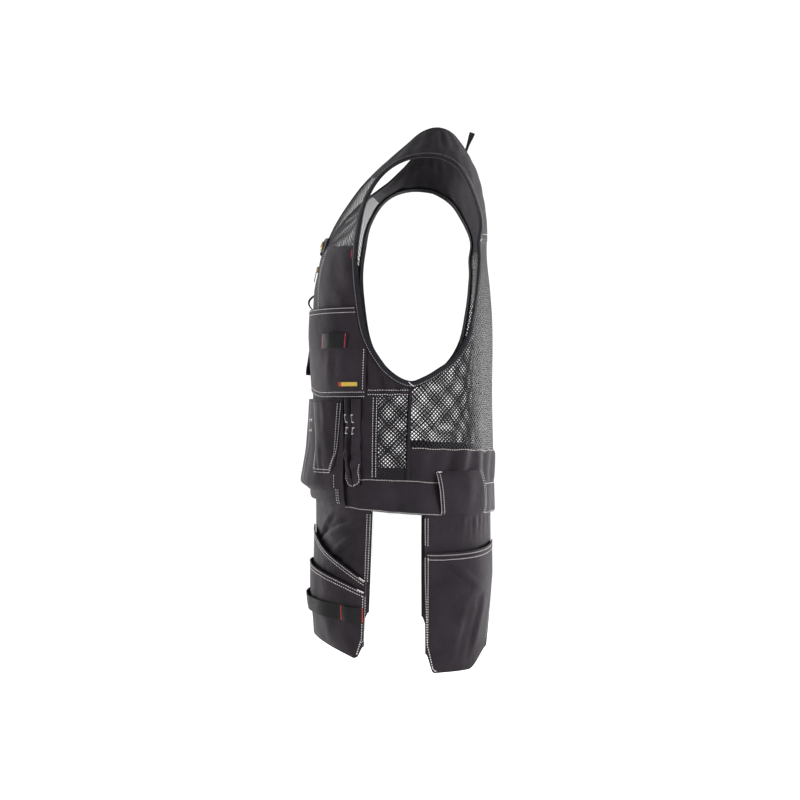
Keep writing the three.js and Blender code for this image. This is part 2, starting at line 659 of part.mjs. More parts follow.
/** Pocket on each side of the chest: the left one has the webbing and the label, the right one the flap. */
function chestPockets() {
  const lift = (place, s, t) => chestPocketLift(s, t);
  addPair('chest_pocket', sheet({ across: 8, down: 5, spot: chestPocketSpot, lift }), TWILL_COLOUR);
  const webbing = { middle: { s: 0.73, t: 0.39 }, width: CHEST_WEBBING_LENGTH, height: WEBBING_WIDTH };
  onChestPocket('chest_webbing', webbing, TAPE, BINDING_COLOUR, WEBBING_FULLNESS, 6);
  const label = { middle: { s: 0.825, t: 0.885 }, width: LABEL_LENGTH, height: LABEL_HEIGHT };
  onChestPocket('chest_label', label, CLOTH / 2, LABEL_COLOUR, 0, 4);
  const flap = { top: 0.545, bottom: 0.64, start: 8, end: 46 };
  const spot = (s, t) => ({ angle: lerp(flap.start, flap.end, s), drop: lerp(flap.top, flap.bottom, t) });
  const flapLift = (place, s, t) => {
    const across = (place.angle - CHEST_POCKET.start) / (CHEST_POCKET.end - CHEST_POCKET.start);
    const level = (place.drop - CHEST_POCKET.top) / (CHEST_POCKET.bottom - CHEST_POCKET.top);
    return chestPocketLift(across, level) + CLOTH + LAYER_GAP + FLAP_FULLNESS * ease(t);
  };
  add('chest_flap_R', mirrored(sheet({ across: 5, down: 4, spot, lift: flapLift })), TWILL_COLOUR);
}

const UNDER_POCKET = { top: 0.8, bottom: 0.984, start: 2.9, end: 51.6, spread: 2.4, rise: 0.006 };
const NAIL_POCKET = { top: 0.705, bottom: 0.94, start: 2.9, end: 52.5, spread: 1.5 };

/** Height of the inner face of the pocket under the nail pocket. */
function underLift(place) {
  const s = clamp((place.angle - UNDER_POCKET.start) / (UNDER_POCKET.end - UNDER_POCKET.start), 0, 1);
  const t = clamp((place.drop - UNDER_POCKET.top) / (UNDER_POCKET.bottom - UNDER_POCKET.top), 0, 1);
  const round = lerp(0.55, 1, hump(s, ROUND_POWER));
  return panelFace + UNDER_POCKET_FULLNESS * round * ease(t / 0.7) * (1 - ease((t - 0.82) / 0.18));
}

/** Height of the inner face of the nail pocket, which hangs loose and full at its bottom. */
function nailLift(place) {
  const s = (place.angle - NAIL_POCKET.start) / (NAIL_POCKET.end - NAIL_POCKET.start);
  const t = clamp((place.drop - NAIL_POCKET.top) / (NAIL_POCKET.bottom - NAIL_POCKET.top), 0, 1);
  const hang = t * (1 - ease((t - 0.9) / 0.1)) * (1 - ease((s - 0.35) / 0.65));
  const mouth = hump(s) * (1 - t) ** 2;
  return underLift(place) + CLOTH + LAYER_GAP + NAIL_POCKET_FULLNESS * hang + NAIL_POCKET_MOUTH * mouth;
}

/** The two big pockets of each lower front, one over the other. */
function nailPockets() {
  const underSpot = (s, t) => {
    const angle = lerp(UNDER_POCKET.start, UNDER_POCKET.end + UNDER_POCKET.spread * t, s);
    const bottom = Math.min(UNDER_POCKET.bottom, hemBottom(angle) - 0.004) - UNDER_POCKET.rise * hump(s);
    return { angle, drop: lerp(UNDER_POCKET.top, bottom, t) };
  };
  addPair('under_pocket', sheet({ across: 6, down: 5, spot: underSpot, lift: underLift }), TWILL_COLOUR);
  const nailSpot = (s, t) => ({
    angle: lerp(NAIL_POCKET.start, NAIL_POCKET.end + NAIL_POCKET.spread * t, s),
    drop: lerp(NAIL_POCKET.top, NAIL_POCKET.bottom - 0.01 * s, t),
  });
  addPair('nail_pocket', sheet({ across: 6, down: 7, spot: nailSpot, lift: nailLift }), TWILL_COLOUR);
}

/** Long narrow pocket on each nail pocket, with its outer lower corner cut off. */
function phonePockets() {
  const place = { top: 0.712, bottom: 0.892, start: 30, end: 52, corner: 0.016, taper: 4 };
  const spot = (s, t) => {
    const cut = place.corner * ease((s - 0.78) / 0.22);
    const start = place.start + place.taper * t;
    const end = place.end - place.taper * t;
    return { angle: lerp(start, end, s), drop: lerp(place.top, place.bottom - cut, t) };
  };
  const lift = (at, s, t) => {
    const full = hump(s, LOOP_POWER) * (1 - t ** 4);
    return nailLift(at) + CLOTH + LAYER_GAP + PHONE_POCKET_FULLNESS * full;
  };
  addPair('phone_pocket', sheet({ across: 5, down: 5, spot, lift }), TWILL_COLOUR);
}

/** Two narrow tubes for tools side by side, pinched by their stitches and loose below. */
function toolTubes() {
  const place = { top: 0.706, bottom: 0.926, start: 54.2, end: 62.8, spread: 1.2 };
  const spot = (s, t) => ({
    angle: lerp(place.start + place.spread * t, place.end + (place.spread / 3) * t, s),
    drop: lerp(place.top, place.bottom - 0.012 * Math.abs(s - 0.5), t),
  });
  const lift = (at, s, t) => {
    const pinch = 1 - 0.6 * Math.exp(-(((t - 0.32) / 0.09) ** 2));
    const rounds = Math.abs(Math.sin(2 * Math.PI * s)) ** LOOP_POWER;
    return panelFace + TOOL_TUBE_FULLNESS * rounds * pinch * (1 - ease((t - 0.88) / 0.12) * 0.8);
  };
  addPair('tool_tubes', sheet({ across: 8, down: 6, spot, lift }), TWILL_COLOUR);
}

const FRONT_HOLSTER = { start: 14.8, end: 69.6, taper: 3, slant: 0.04, corner: 0.1 };
const frontHolsterBottom = 1 + FRONT_HOLSTER_LENGTH / BODY_LENGTH;
const cornerShare = HOLSTER_CORNER / BODY_LENGTH;

/** Level of the bottom edge of the front holster at a share across it. */
function frontHolsterEnd(s) {
  const cut = cornerShare * (1 - ease((1 - s) / FRONT_HOLSTER.corner));
  return frontHolsterBottom - FRONT_HOLSTER.slant * (1 - s ** 2) - cut;
}

/** Place on the front holster below a line of levels, with its sides drawn in towards the bottom. */
function frontHolsterSpot(s, t, from) {
  const drop = lerp(from(s), frontHolsterEnd(s), t);
  const narrow = clamp((drop - 1) / (frontHolsterBottom - 1), 0, 1);
  return { angle: lerp(FRONT_HOLSTER.start, FRONT_HOLSTER.end - FRONT_HOLSTER.taper * narrow, s), drop };
}

const upperMouth = (s) => 1.033 + 0.126 * s ** 1.25;
const lowerMouth = (s) => 1.12 + 0.066 * s ** 2;

/** Share down the front holster's pockets at a place, from a mouth line to the bottom. */
const shareBelow = (drop, mouth, s) => clamp((drop - mouth(s)) / (frontHolsterEnd(s) - mouth(s)), 0, 1);

/** Height of the inner face of the upper pocket of the front holster. */
function upperPocketLift(place, s) {
  const t = shareBelow(place.drop, upperMouth, s);
  return panelFace + HOLSTER_FULLNESS * fullnessAt(s, t, 3, 0.8);
}

/** Height of the inner face of the lower pocket of the front holster. */
function lowerPocketLift(place, s) {
  const t = shareBelow(place.drop, lowerMouth, s);
  return upperPocketLift(place, s) + CLOTH + LAYER_GAP + HOLSTER_POCKET_FULLNESS * fullnessAt(s, t, 3, 1);
}

/** Holster that hangs from each side of the front hem, with two slanted pockets and a webbing over them. */
function frontHolsters() {
  const top = (s) => hemBottom(lerp(FRONT_HOLSTER.start, FRONT_HOLSTER.end, s));
  const backSpot = (s, t) => frontHolsterSpot(s, t, top);
  addPair('front_holster', sheet({ across: 6, down: 5, spot: backSpot }), TWILL_COLOUR);
  const upperSpot = (s, t) => frontHolsterSpot(s, t, upperMouth);
  const upper = sheet({ across: 7, down: 5, spot: upperSpot, lift: upperPocketLift });
  addPair('holster_upper_pocket', upper, TWILL_COLOUR);
  const lowerSpot = (s, t) => frontHolsterSpot(s, t, lowerMouth);
  const lower = sheet({ across: 7, down: 4, spot: lowerSpot, lift: lowerPocketLift });
  addPair('holster_lower_pocket', lower, TWILL_COLOUR);
  const webbingTop = (s) => 1.195 + 0.028 * s;
  const middleBar = 0.72;
  const webbingSpot = (s, t) => {
    const at = frontHolsterSpot(s, 0, webbingTop);
    return { angle: at.angle, drop: at.drop + (t * WEBBING_WIDTH) / BODY_LENGTH };
  };
  const webbingLift = (place, s) => {
    const loops = loopHeight(s < middleBar ? s / middleBar : (s - middleBar) / (1 - middleBar));
    return lowerPocketLift(place, s) + CLOTH + SEAT_GAP + WEBBING_FULLNESS * loops;
  };
  const webbing = sheet({ across: 10, down: 1, spot: webbingSpot, lift: webbingLift, wall: TAPE });
  addPair('holster_webbing', webbing, BINDING_COLOUR);
}

const BACK_HOLSTER = { start: 102.4, end: 155, taper: 12, taperFrom: 1.15, cut: 1.3 };
const backHolsterBottom = 1 + BACK_HOLSTER_LENGTH / BODY_LENGTH;

/** Level of the bottom edge of the back holster at a share across it. */
function backHolsterEnd(s) {
  const cut = cornerShare * BACK_HOLSTER.cut;
  const outerCut = cut * (1 - ease(s / 0.12));
  const innerCut = cut * ease((s - 0.66) / 0.34);
  return backHolsterBottom - outerCut - innerCut;
}

/** Place on the back holster below a line of levels, drawn in towards the bottom on the side of the back. */
function backHolsterSpot(s, t, from) {
  const drop = lerp(from(s), backHolsterEnd(s), t);
  const { taperFrom } = BACK_HOLSTER;
  const narrow = clamp((drop - taperFrom) / (backHolsterBottom - taperFrom), 0, 1);
  return { angle: lerp(BACK_HOLSTER.start, BACK_HOLSTER.end - BACK_HOLSTER.taper * narrow, s), drop };
}

/** Holster that hangs from each side of the back hem, with one wide pocket. */
function backHolsters() {
  const top = (s) => hemBottom(lerp(BACK_HOLSTER.start, BACK_HOLSTER.end, s));
  const backSpot = (s, t) => backHolsterSpot(s, t, top);
  addPair('back_holster', sheet({ across: 6, down: 5, spot: backSpot }), TWILL_COLOUR);
  const mouth = (s) => 1.087 - 0.012 * s ** 3;
  const pocketSpot = (s, t) => backHolsterSpot(s, t, mouth);
  const lift = (place, s, t) => panelFace + BACK_POCKET_FULLNESS * fullnessAt(s, t, 3, 0.75);
  addPair('back_holster_pocket', sheet({ across: 7, down: 5, spot: pocketSpot, lift }), TWILL_COLOUR);
}

/** Wide loop for a belt at each side of the back hip, sewn down at its top and bottom. */
function beltLoops() {
  const place = { top: 0.884, bottom: 0.001, start: 108.3, end: 139.6, spread: 3.6, power: 0.5 };
  const spot = (s, t) => {
    const angle = lerp(place.start + place.spread * t, place.end + place.spread * t, s);
    return { angle, drop: lerp(place.top, hemBottom(angle) - place.bottom, t) };
  };
  const lift = (at, s, t) => panelFace + BELT_LOOP_FULLNESS * loopHeight(t, place.power);
  addPair('belt_loop', sheet({ across: 5, down: 5, spot, lift }), TWILL_COLOUR);
}

/** Tab across the bottom of the V, with its snap. */
function snapTab() {
  const place = { top: 0.288, height: 0.036, start: -3, end: 19, power: 0.5 };
  const snap = { across: 0.68, down: 0.52 };
  const spot = (s, t) => ({ angle: lerp(place.start, place.end, s), drop: place.top + place.height * t });
  const lift = (at, s, t) => lerp(BINDING, CLOTH, t) + SEAT_GAP + SNAP_TAB_LIFT * loopHeight(s, place.power);
  add('snap_tab', sheet({ across: 4, down: 2, spot, lift, wall: TAPE }), BINDING_COLOUR);
  const middle = spot(snap.across, snap.down);
  const button = new THREE.CylinderGeometry(SNAP_RADIUS * 0.85, SNAP_RADIUS, SNAP_HEIGHT, 16);
  button.deleteAttribute('normal');
  button.deleteAttribute('uv');
  const out = outward(middle);
  button.applyQuaternion(new THREE.Quaternion().setFromUnitVectors(new THREE.Vector3(0, 1, 0), out));
  const seat = bodyPoint(middle, lift(middle, snap.across, snap.down) + TAPE + LAYER_GAP + SNAP_HEIGHT / 2);
  button.translate(seat.x, seat.y, seat.z);
  add('snap_button', button, BRASS_COLOUR, 0.45, 0.9);
}

/** A flat tape along a curve in space. */
function tapeAlong(points, width, thickness, steps) {
  const section = new THREE.Shape();
  section.moveTo(-thickness / 2, -width / 2);
  section.lineTo(thickness / 2, -width / 2);
  section.lineTo(thickness / 2, width / 2);
  section.lineTo(-thickness / 2, width / 2);
  const extrudePath = new THREE.CatmullRomCurve3(points);
  return new THREE.ExtrudeGeometry(section, { steps, bevelEnabled: false, extrudePath });
}

/** Loop to hang the vest up by, at the centre of the back of the neck. */
function hangLoop() {
  let low = NECK_CREST_ALONG;
  let high = NECK[NECK.length - 1].along;
  for (let k = 0; k < 20; k += 1) {
    const middle = (low + high) / 2;
    if (bodyPoint(neck(middle)).x > HANG_LOOP_HALF_WIDTH) low = middle;
    else high = middle;
  }
  const foot = bodyPoint(neck(low), BINDING / 2);
  foot.z += SEAM_GAP * 1.5;
  const steps = 12;
  const points = [];
  for (let k = 0; k <= steps; k += 1) {
    const share = k / steps;
    const rise = Math.sin(Math.PI * share) ** 0.8;
    points.push(new THREE.Vector3(
      -HANG_LOOP_HALF_WIDTH * Math.cos(Math.PI * share),
      foot.y + HANG_LOOP_LEAN * rise,
      foot.z + HANG_LOOP_HEIGHT * rise,
    ));
  }
  add('hang_loop', tapeAlong(points, HANG_LOOP_TAPE, CLOTH, 14), BINDING_COLOUR);
}

/** Small folded webbing loop that stands off the front edge. */
function frontLoop() {
  const top = 0.425;
  const spot = (s, t) => {
    const drop = top + (t * FRONT_LOOP_LENGTH) / BODY_LENGTH;
    return { angle: -frontAngle(lerp(ZIP_WIDTH * 0.6, ZIP_WIDTH * 1.5, s), drop), drop };
  };
  const lift = (place, s, t) => CLOTH + SEAT_GAP + FRONT_LOOP_DEPTH * loopHeight(t, ROUND_POWER);
  add('front_loop', sheet({ across: 1, down: 8, spot, lift, wall: TAPE }), BINDING_COLOUR);
}

shoulderYoke();
frontNet();
chestPanel();
lowerFront();
sideNet();
backNet();
waistPanel();
hemBand();
armholeBinding();
neckBinding();
sideTape();
frontZip();
chestPockets();
nailPockets();
phonePockets();
toolTubes();
frontHolsters();
backHolsters();
beltLoops();
snapTab();
hangLoop();
frontLoop();

export default vest;
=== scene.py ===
"""Looks of a utility work vest: twill, net, tape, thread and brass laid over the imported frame.

Lengths are in millimetres until a mesh is written, which is in metres. The vest faces -Y and the wearer's
left is +X. A place on the body is an angle round it (0 front, 90 left side, 180 back, in degrees) and a drop
below the shoulders, as a share of the body's length. A place on a piece is a share across it, s, and down
it, t.
"""

from __future__ import annotations

import logging
import math
from collections.abc import Callable, Sequence
from dataclasses import dataclass, field, replace
from enum import Enum
from typing import ClassVar

import bmesh
import bpy
import numpy as np
from mathutils import Matrix, Vector

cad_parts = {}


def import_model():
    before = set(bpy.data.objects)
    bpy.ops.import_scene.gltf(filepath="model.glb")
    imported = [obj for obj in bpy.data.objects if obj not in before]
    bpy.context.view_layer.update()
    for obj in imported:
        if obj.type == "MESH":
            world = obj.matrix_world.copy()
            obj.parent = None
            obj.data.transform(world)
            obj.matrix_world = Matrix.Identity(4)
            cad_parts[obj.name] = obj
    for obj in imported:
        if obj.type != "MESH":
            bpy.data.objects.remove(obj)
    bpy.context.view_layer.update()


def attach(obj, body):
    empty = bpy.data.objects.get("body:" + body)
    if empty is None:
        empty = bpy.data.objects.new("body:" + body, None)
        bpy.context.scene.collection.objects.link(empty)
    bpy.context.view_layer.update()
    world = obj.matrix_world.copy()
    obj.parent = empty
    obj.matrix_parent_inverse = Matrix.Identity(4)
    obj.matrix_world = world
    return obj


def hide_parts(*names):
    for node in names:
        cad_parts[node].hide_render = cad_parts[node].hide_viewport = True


log = logging.getLogger("work_vest")

Array = np.ndarray
Spot = tuple[Array, Array]
Shape = Callable[[Array, Array], Array]
Place = Callable[[Array, Array], Spot]
Lift = Callable[["At"], Array]
Look = dict[str, bpy.types.NodeSocket]
Grains = dict[str, tuple[float, float]]
Waves = dict[str, tuple[float, float, float]]
Reliefs = tuple[tuple[str, float], ...]

MM = 0.001
DEGREE = 2.9  # millimetres round the body for one degree, about
CLOTH = 1.6  # thickness of the twill
PANEL = 1.6  # outer face of the panels over the body
SEWN = 0.2  # air between a panel and a flat piece on it
ON_PANEL = PANEL + 0.7  # inner face of a full piece that is sewn on a panel
ROUND = 0.8  # power of a full pocket's section
LOOP = 0.7  # power of a loop's section, which is squarer


class Cut(Enum):
    """Which halves of the vest a piece is cut for."""

    PAIR = "one on each side"
    LEFT = "as made"
    RIGHT = "mirrored"
    JOINED = "both halves in one"


@dataclass(frozen=True)
class At:
    """Places on the body, with their shares across and down a piece."""

    angle: Array
    drop: Array
    s: Array
    t: Array


def smooth(share: Array) -> Array:
    """Smooth step from 0 to 1."""
    x = np.clip(share, 0.0, 1.0)
    return x * x * (3.0 - 2.0 * x)


def hump(share: Array, power: float = 1.0) -> Array:
    """Hump that is 0 at both ends of 0 to 1, steeper for a smaller power."""
    return np.sin(np.pi * np.clip(share, 0.0, 1.0)).clip(0.0) ** power


def bell(value: Array) -> Array:
    """Bell curve of height 1."""
    return np.exp(-(value**2))


def lerp(start: float | Array, end: float | Array, share: Array) -> Array:
    """Value between start and end."""
    return start + (end - start) * share


def between(start: Spot, end: Spot | tuple[float, float], share: Array) -> Spot:
    """Place between two places."""
    return lerp(start[0], end[0], share), lerp(start[1], end[1], share)


def ripple(u: Array, v: Array, size: float, seed: int) -> Array:
    """Soft irregular waves from -1 to 1.

    Args:
        u: First coordinate in millimetres.
        v: Second coordinate in millimetres.
        size: Typical distance between two crests in millimetres.
        seed: Picks the directions and phases.

    Returns:
        The height at each place.
    """
    rng = np.random.default_rng(seed)
    total = np.zeros(np.broadcast(u, v).shape)
    for _ in range(7):
        turn, phase = rng.uniform(0, 2 * np.pi, 2)
        step = 2 * np.pi / (size * rng.uniform(0.7, 1.6))
        total = total + np.sin(step * (u * np.cos(turn) + v * np.sin(turn)) + phase)
    return total / 4.0


@dataclass(frozen=True)
class Pull:
    """Long soft fold between two places of a cloth, in millimetres across and down."""

    start: tuple[float, float]
    end: tuple[float, float]
    width: float
    height: float

    def rise(self, u: Array, v: Array) -> Array:
        """Crest with a shallower hollow beside it.

        Args:
            u: Millimetres across.
            v: Millimetres down.

        Returns:
            The height at each place.
        """
        run = np.subtract(self.end, self.start)
        long = float(np.hypot(*run))
        along = ((u - self.start[0]) * run[0] + (v - self.start[1]) * run[1]) / long**2
        aside = ((u - self.start[0]) * run[1] - (v - self.start[1]) * run[0]) / long / self.width
        return self.height * (bell(aside) - 0.6 * bell(aside - 1.6)) * hump(along, 0.6)


def creased(pulls: Sequence[Pull], u: Array, v: Array) -> Array:
    """Height of all folds together."""
    return sum(pull.rise(u, v) for pull in pulls)


@dataclass(frozen=True)
class Table:
    """Short table of values that is read on a smooth curve through its rows."""

    columns: tuple[str, ...]
    rows: tuple[tuple[float, ...], ...]

    def read(self, at: Array) -> dict[str, Array]:
        """Reads every column.

        Args:
            at: Values of the first column.

        Returns:
            The other columns by name.
        """
        data = np.array(self.rows, float)
        keys, last = data[:, 0], len(data) - 1
        at = np.clip(np.asarray(at, float), keys[0], keys[-1])
        k = np.clip(np.searchsorted(keys, at, side="left") - 1, 0, last - 1)
        span = (keys[k + 1] - keys[k])[..., None]
        x = (at[..., None] - data[k][..., :1]) / span

        def slope(row: Array) -> Array:
            """Slope of all columns at a row."""
            before, after = data[np.maximum(row - 1, 0)], data[np.minimum(row + 1, last)]
            return (after - before) / (after[..., :1] - before[..., :1]) * span

        start, rise = data[k], data[k + 1] - data[k]
        into, out = slope(k), slope(k + 1)
        value = start + x * into + x**2 * (3 * rise - 2 * into - out) + x**3 * (into + out - 2 * rise)
        return {name: value[..., i + 1] for i, name in enumerate(self.columns[1:])}


@dataclass(frozen=True)
class Body:
    """Form of the worn vest: level ovals with soft folds, and the edges of its armholes, neck and hem."""

    length: float = 596.0
    half_width: float = 178.0
    front_depth: float = 196.0
    back_depth: float = 92.0
    binding_width: float = 9.0
    neck_binding_width: float = 7.0
    levels: Table = Table(
        ("drop", "half", "front", "side", "back", "front_power", "back_power"),
        (
            (-0.02, 0.34, 0.13, 0, 0.2, 2.2, 2.2),
            (0, 0.42, 0.18, 0, 0.3, 2.2, 2.2),
            (0.034, 0.6, 0.27, 0, 0.44, 2.2, 2.2),
            (0.084, 0.87, 0.42, 0, 0.61, 2.2, 2.3),
            (0.126, 1.05, 0.54, 0.01, 0.71, 2.2, 2.4),
            (0.168, 1.1, 0.65, 0.025, 0.78, 2.2, 2.5),
            (0.252, 1.08, 0.82, 0.06, 0.85, 2.2, 2.8),
            (0.336, 1.03, 0.925, 0.11, 0.85, 2.2, 3),
            (0.42, 1, 0.975, 0.155, 0.9, 2.2, 2.8),
            (0.503, 0.985, 0.99, 0.19, 0.93, 2.2, 2.6),
            (0.671, 0.985, 0.99, 0.23, 0.945, 2.2, 2.4),
            (0.839, 0.995, 0.98, 0.25, 0.98, 2.2, 2.3),
            (1, 1, 0.97, 0.26, 0.99, 2.2, 2.3),
            (1.42, 1, 0.97, 0.26, 0.99, 2.2, 2.3),
        ),
    )
    # angle, drop, reach round, reach down and height of each soft fold
    folds: tuple[tuple[float, float, float, float, float], ...] = (
        (104, 0.93, 6, 0.1, 0.016),
        (117, 0.86, 6, 0.12, -0.014),
        (130, 0.6, 7, 0.2, 0.014),
        (152, 0.72, 8, 0.22, -0.016),
        (166, 0.55, 8, 0.16, 0.016),
        (84, 0.95, 6, 0.07, -0.014),
        (80, 0.8, 7, 0.1, 0.012),
        (34, 0.4, 12, 0.06, 0.012),
        (140, 0.31, 9, 0.03, -0.02),
        (128, 1.2, 9, 0.08, 0.02),
        (46, 1.06, 10, 0.05, 0.02),
    )
    armhole_edge: Table = Table(
        ("turn", "angle", "drop"),
        (
            (-20, 118.5, 0.148),
            (0, 92.6, 0.112),
            (20, 65.5, 0.109),
            (40, 48.1, 0.137),
            (60, 45.4, 0.196),
            (80, 50.7, 0.278),
            (100, 54.5, 0.355),
            (120, 59.2, 0.439),
            (140, 65.5, 0.544),
            (160, 76, 0.619),
            (170, 84.3, 0.65),
            (180, 92, 0.6612),
            (190, 99.2, 0.6515),
            (200, 106, 0.6365),
            (220, 118.7, 0.599),
            (240, 127.2, 0.54),
            (260, 132.3, 0.457),
            (280, 136.3, 0.375),
            (300, 139.4, 0.305),
            (320, 136.7, 0.237),
            (340, 118.5, 0.148),
            (360, 92.6, 0.112),
            (380, 65.5, 0.109),
        ),
    )
    neck_edge: Table = Table(
        ("along", "angle", "drop"),
        (
            (0, 3.2, 0.29),
            (15, 8, 0.247),
            (30, 14, 0.2),
            (43, 21, 0.155),
            (53, 29, 0.122),
            (61, 36.5, 0.093),
            (68, 43, 0.061),
            (75, 55, 0.02),
            (83, 90, 0.004),
            (90, 134, 0.016),
            (95, 151, 0.042),
            (100, 180, 0.052),
        ),
    )
    hem: Table = Table(
        ("angle", "top", "bottom"),
        (
            (0, 0.903, 0.966),
            (58, 0.904, 0.98),
            (88, 0.905, 0.989),
            (113, 0.912, 0.995),
            (146, 0.92, 0.998),
            (180, 0.92, 1),
        ),
    )

    def oval(self, angle: Array, drop: Array) -> Array:
        """Point of the plain oval body, without folds.

        Args:
            angle: Angle round the body.
            drop: Share of its length.

        Returns:
            Points in millimetres.
        """
        level = self.levels.read(drop)
        turn = np.radians(angle)
        aside, ahead = np.sin(turn), np.cos(turn)
        power = np.where(ahead >= 0, level["front_power"], level["back_power"])
        reach = (np.abs(aside) ** power + np.abs(ahead) ** power) ** (-1.0 / power)
        side = -level["side"] * self.front_depth
        end = np.where(ahead >= 0, -level["front"] * self.front_depth, level["back"] * self.back_depth)
        x = level["half"] * self.half_width * reach * aside
        y = side + (end - side) * reach * np.abs(ahead)
        return np.stack(np.broadcast_arrays(x, y, -np.asarray(drop) * self.length), -1)

    def directions(self, angle: Array, drop: Array) -> tuple[Array, Array]:
        """Steps of the surface for one degree and for one share of drop.

        Args:
            angle: Angle round the body.
            drop: Share of its length.

        Returns:
            Both steps in millimetres.
        """
        degree, share = 0.5, 0.002
        around = (self.oval(angle + degree, drop) - self.oval(angle - degree, drop)) / (2 * degree)
        return around, (self.oval(angle, drop + share) - self.oval(angle, drop - share)) / (2 * share)

    def outward(self, angle: Array, drop: Array) -> Array:
        """Unit direction away from the body.

        Args:
            angle: Angle round the body.
            drop: Share of its length.

        Returns:
            The direction at each place.
        """
        around, down = self.directions(angle, drop)
        out = np.cross(down, around)
        return out / np.linalg.norm(out, axis=-1, keepdims=True)

    def point(self, angle: Array, drop: Array, height: float | Array = 0.0) -> Array:
        """Point over the body, which has its soft folds here.

        Args:
            angle: Angle round the body.
            drop: Share of its length.
            height: Height over it in millimetres.

        Returns:
            Points in millimetres.
        """
        lifted = np.zeros(np.broadcast(angle, drop).shape)
        for middle, level, wide, long, rise in self.folds:
            aside, along = (np.abs(angle) - middle) / wide, (drop - level) / long
            lifted = lifted + rise * self.half_width * bell(aside) * bell(along)
        return self.oval(angle, drop) + self.outward(angle, drop) * (height + lifted)[..., None]

    def beside(self, edge: Table, at: Array, width: float | Array) -> Spot:
        """Place beside an edge, on the side away from its opening.

        Args:
            edge: Table of the edge.
            at: Where along the edge.
            width: Distance from it in millimetres.

        Returns:
            Angle and drop.
        """
        angle, drop = edge.read(at).values()
        around, down = self.directions(angle, drop)
        along = self.oval(*edge.read(at + 0.5).values()) - self.oval(*edge.read(at - 0.5).values())
        shift = np.cross(along, self.outward(angle, drop))
        shift = shift / np.linalg.norm(shift, axis=-1, keepdims=True) * np.asarray(width)[..., None]
        a, b, c = (around * around).sum(-1), (around * down).sum(-1), (down * down).sum(-1)
        p, q = (around * shift).sum(-1), (down * shift).sum(-1)
        whole = a * c - b * b
        return angle + (c * p - b * q) / whole, drop + (a * q - b * p) / whole

    def armhole(self, turn: float | Array, width: float | Array = 0.0) -> Spot:
        """Place at some distance outside the armhole's edge."""
        return self.beside(self.armhole_edge, np.mod(turn, 360.0), width)

    def neck(self, along: Array, width: float | Array = 0.0) -> Spot:
        """Place at some distance outside the neck's edge."""
        angle, drop = self.beside(self.neck_edge, np.asarray(along, float), width)
        return np.where(np.asarray(along) >= 100, 180.0, angle), drop

    def front_angle(self, x: float | Array, drop: float | Array) -> Array:
        """Angle of the front at a distance from the centre plane.

        Args:
            x: The distance in millimetres.
            drop: Share of the body's length.

        Returns:
            The angle in degrees.
        """
        level = self.levels.read(drop)
        share, power = x / (level["half"] * self.half_width), level["front_power"]
        return np.degrees(np.arctan2(share, (1 - np.abs(share) ** power) ** (1 / power)))

    def hem_top(self, angle: Array) -> Array:
        """Level of the seam over the hem band."""
        return self.hem.read(np.abs(angle))["top"]

    def hem_bottom(self, angle: Array) -> Array:
        """Level of the hem."""
        return self.hem.read(np.abs(angle))["bottom"]

    def armhole_front_angle(self, drop: Array) -> Array:
        """Angle of the outer edge of the armhole's binding at a level of its front branch."""
        angles, drops = self.armhole(np.linspace(92, 180, 200), self.binding_width)
        return np.interp(drop, drops, angles)


def srgb(hexcode: str) -> tuple[float, float, float, float]:
    """Linear colour of an sRGB hex value."""
    parts = [int(hexcode[i : i + 2], 16) / 255 for i in (1, 3, 5)]
    return (*(c / 12.92 if c <= 0.04045 else ((c + 0.055) / 1.055) ** 2.4 for c in parts), 1.0)


def add_node(
    tree: bpy.types.NodeTree, kind: str, inputs: dict[str | int, object] | None = None, **settings: object
) -> bpy.types.Node:
    """Adds one node.

    Args:
        tree: Where it goes.
        kind: Blender's name of the node.
        inputs: Sockets by name or number, each with a value or the socket that feeds it.
        **settings: Properties to set.

    Returns:
        The node.
    """
    node = tree.nodes.new(kind)
    for name, value in settings.items():
        setattr(node, name, value)
    for name, value in (inputs or {}).items():
        if isinstance(value, bpy.types.NodeSocket):
            tree.links.new(value, node.inputs[name])
        else:
            node.inputs[name].default_value = value
    return node


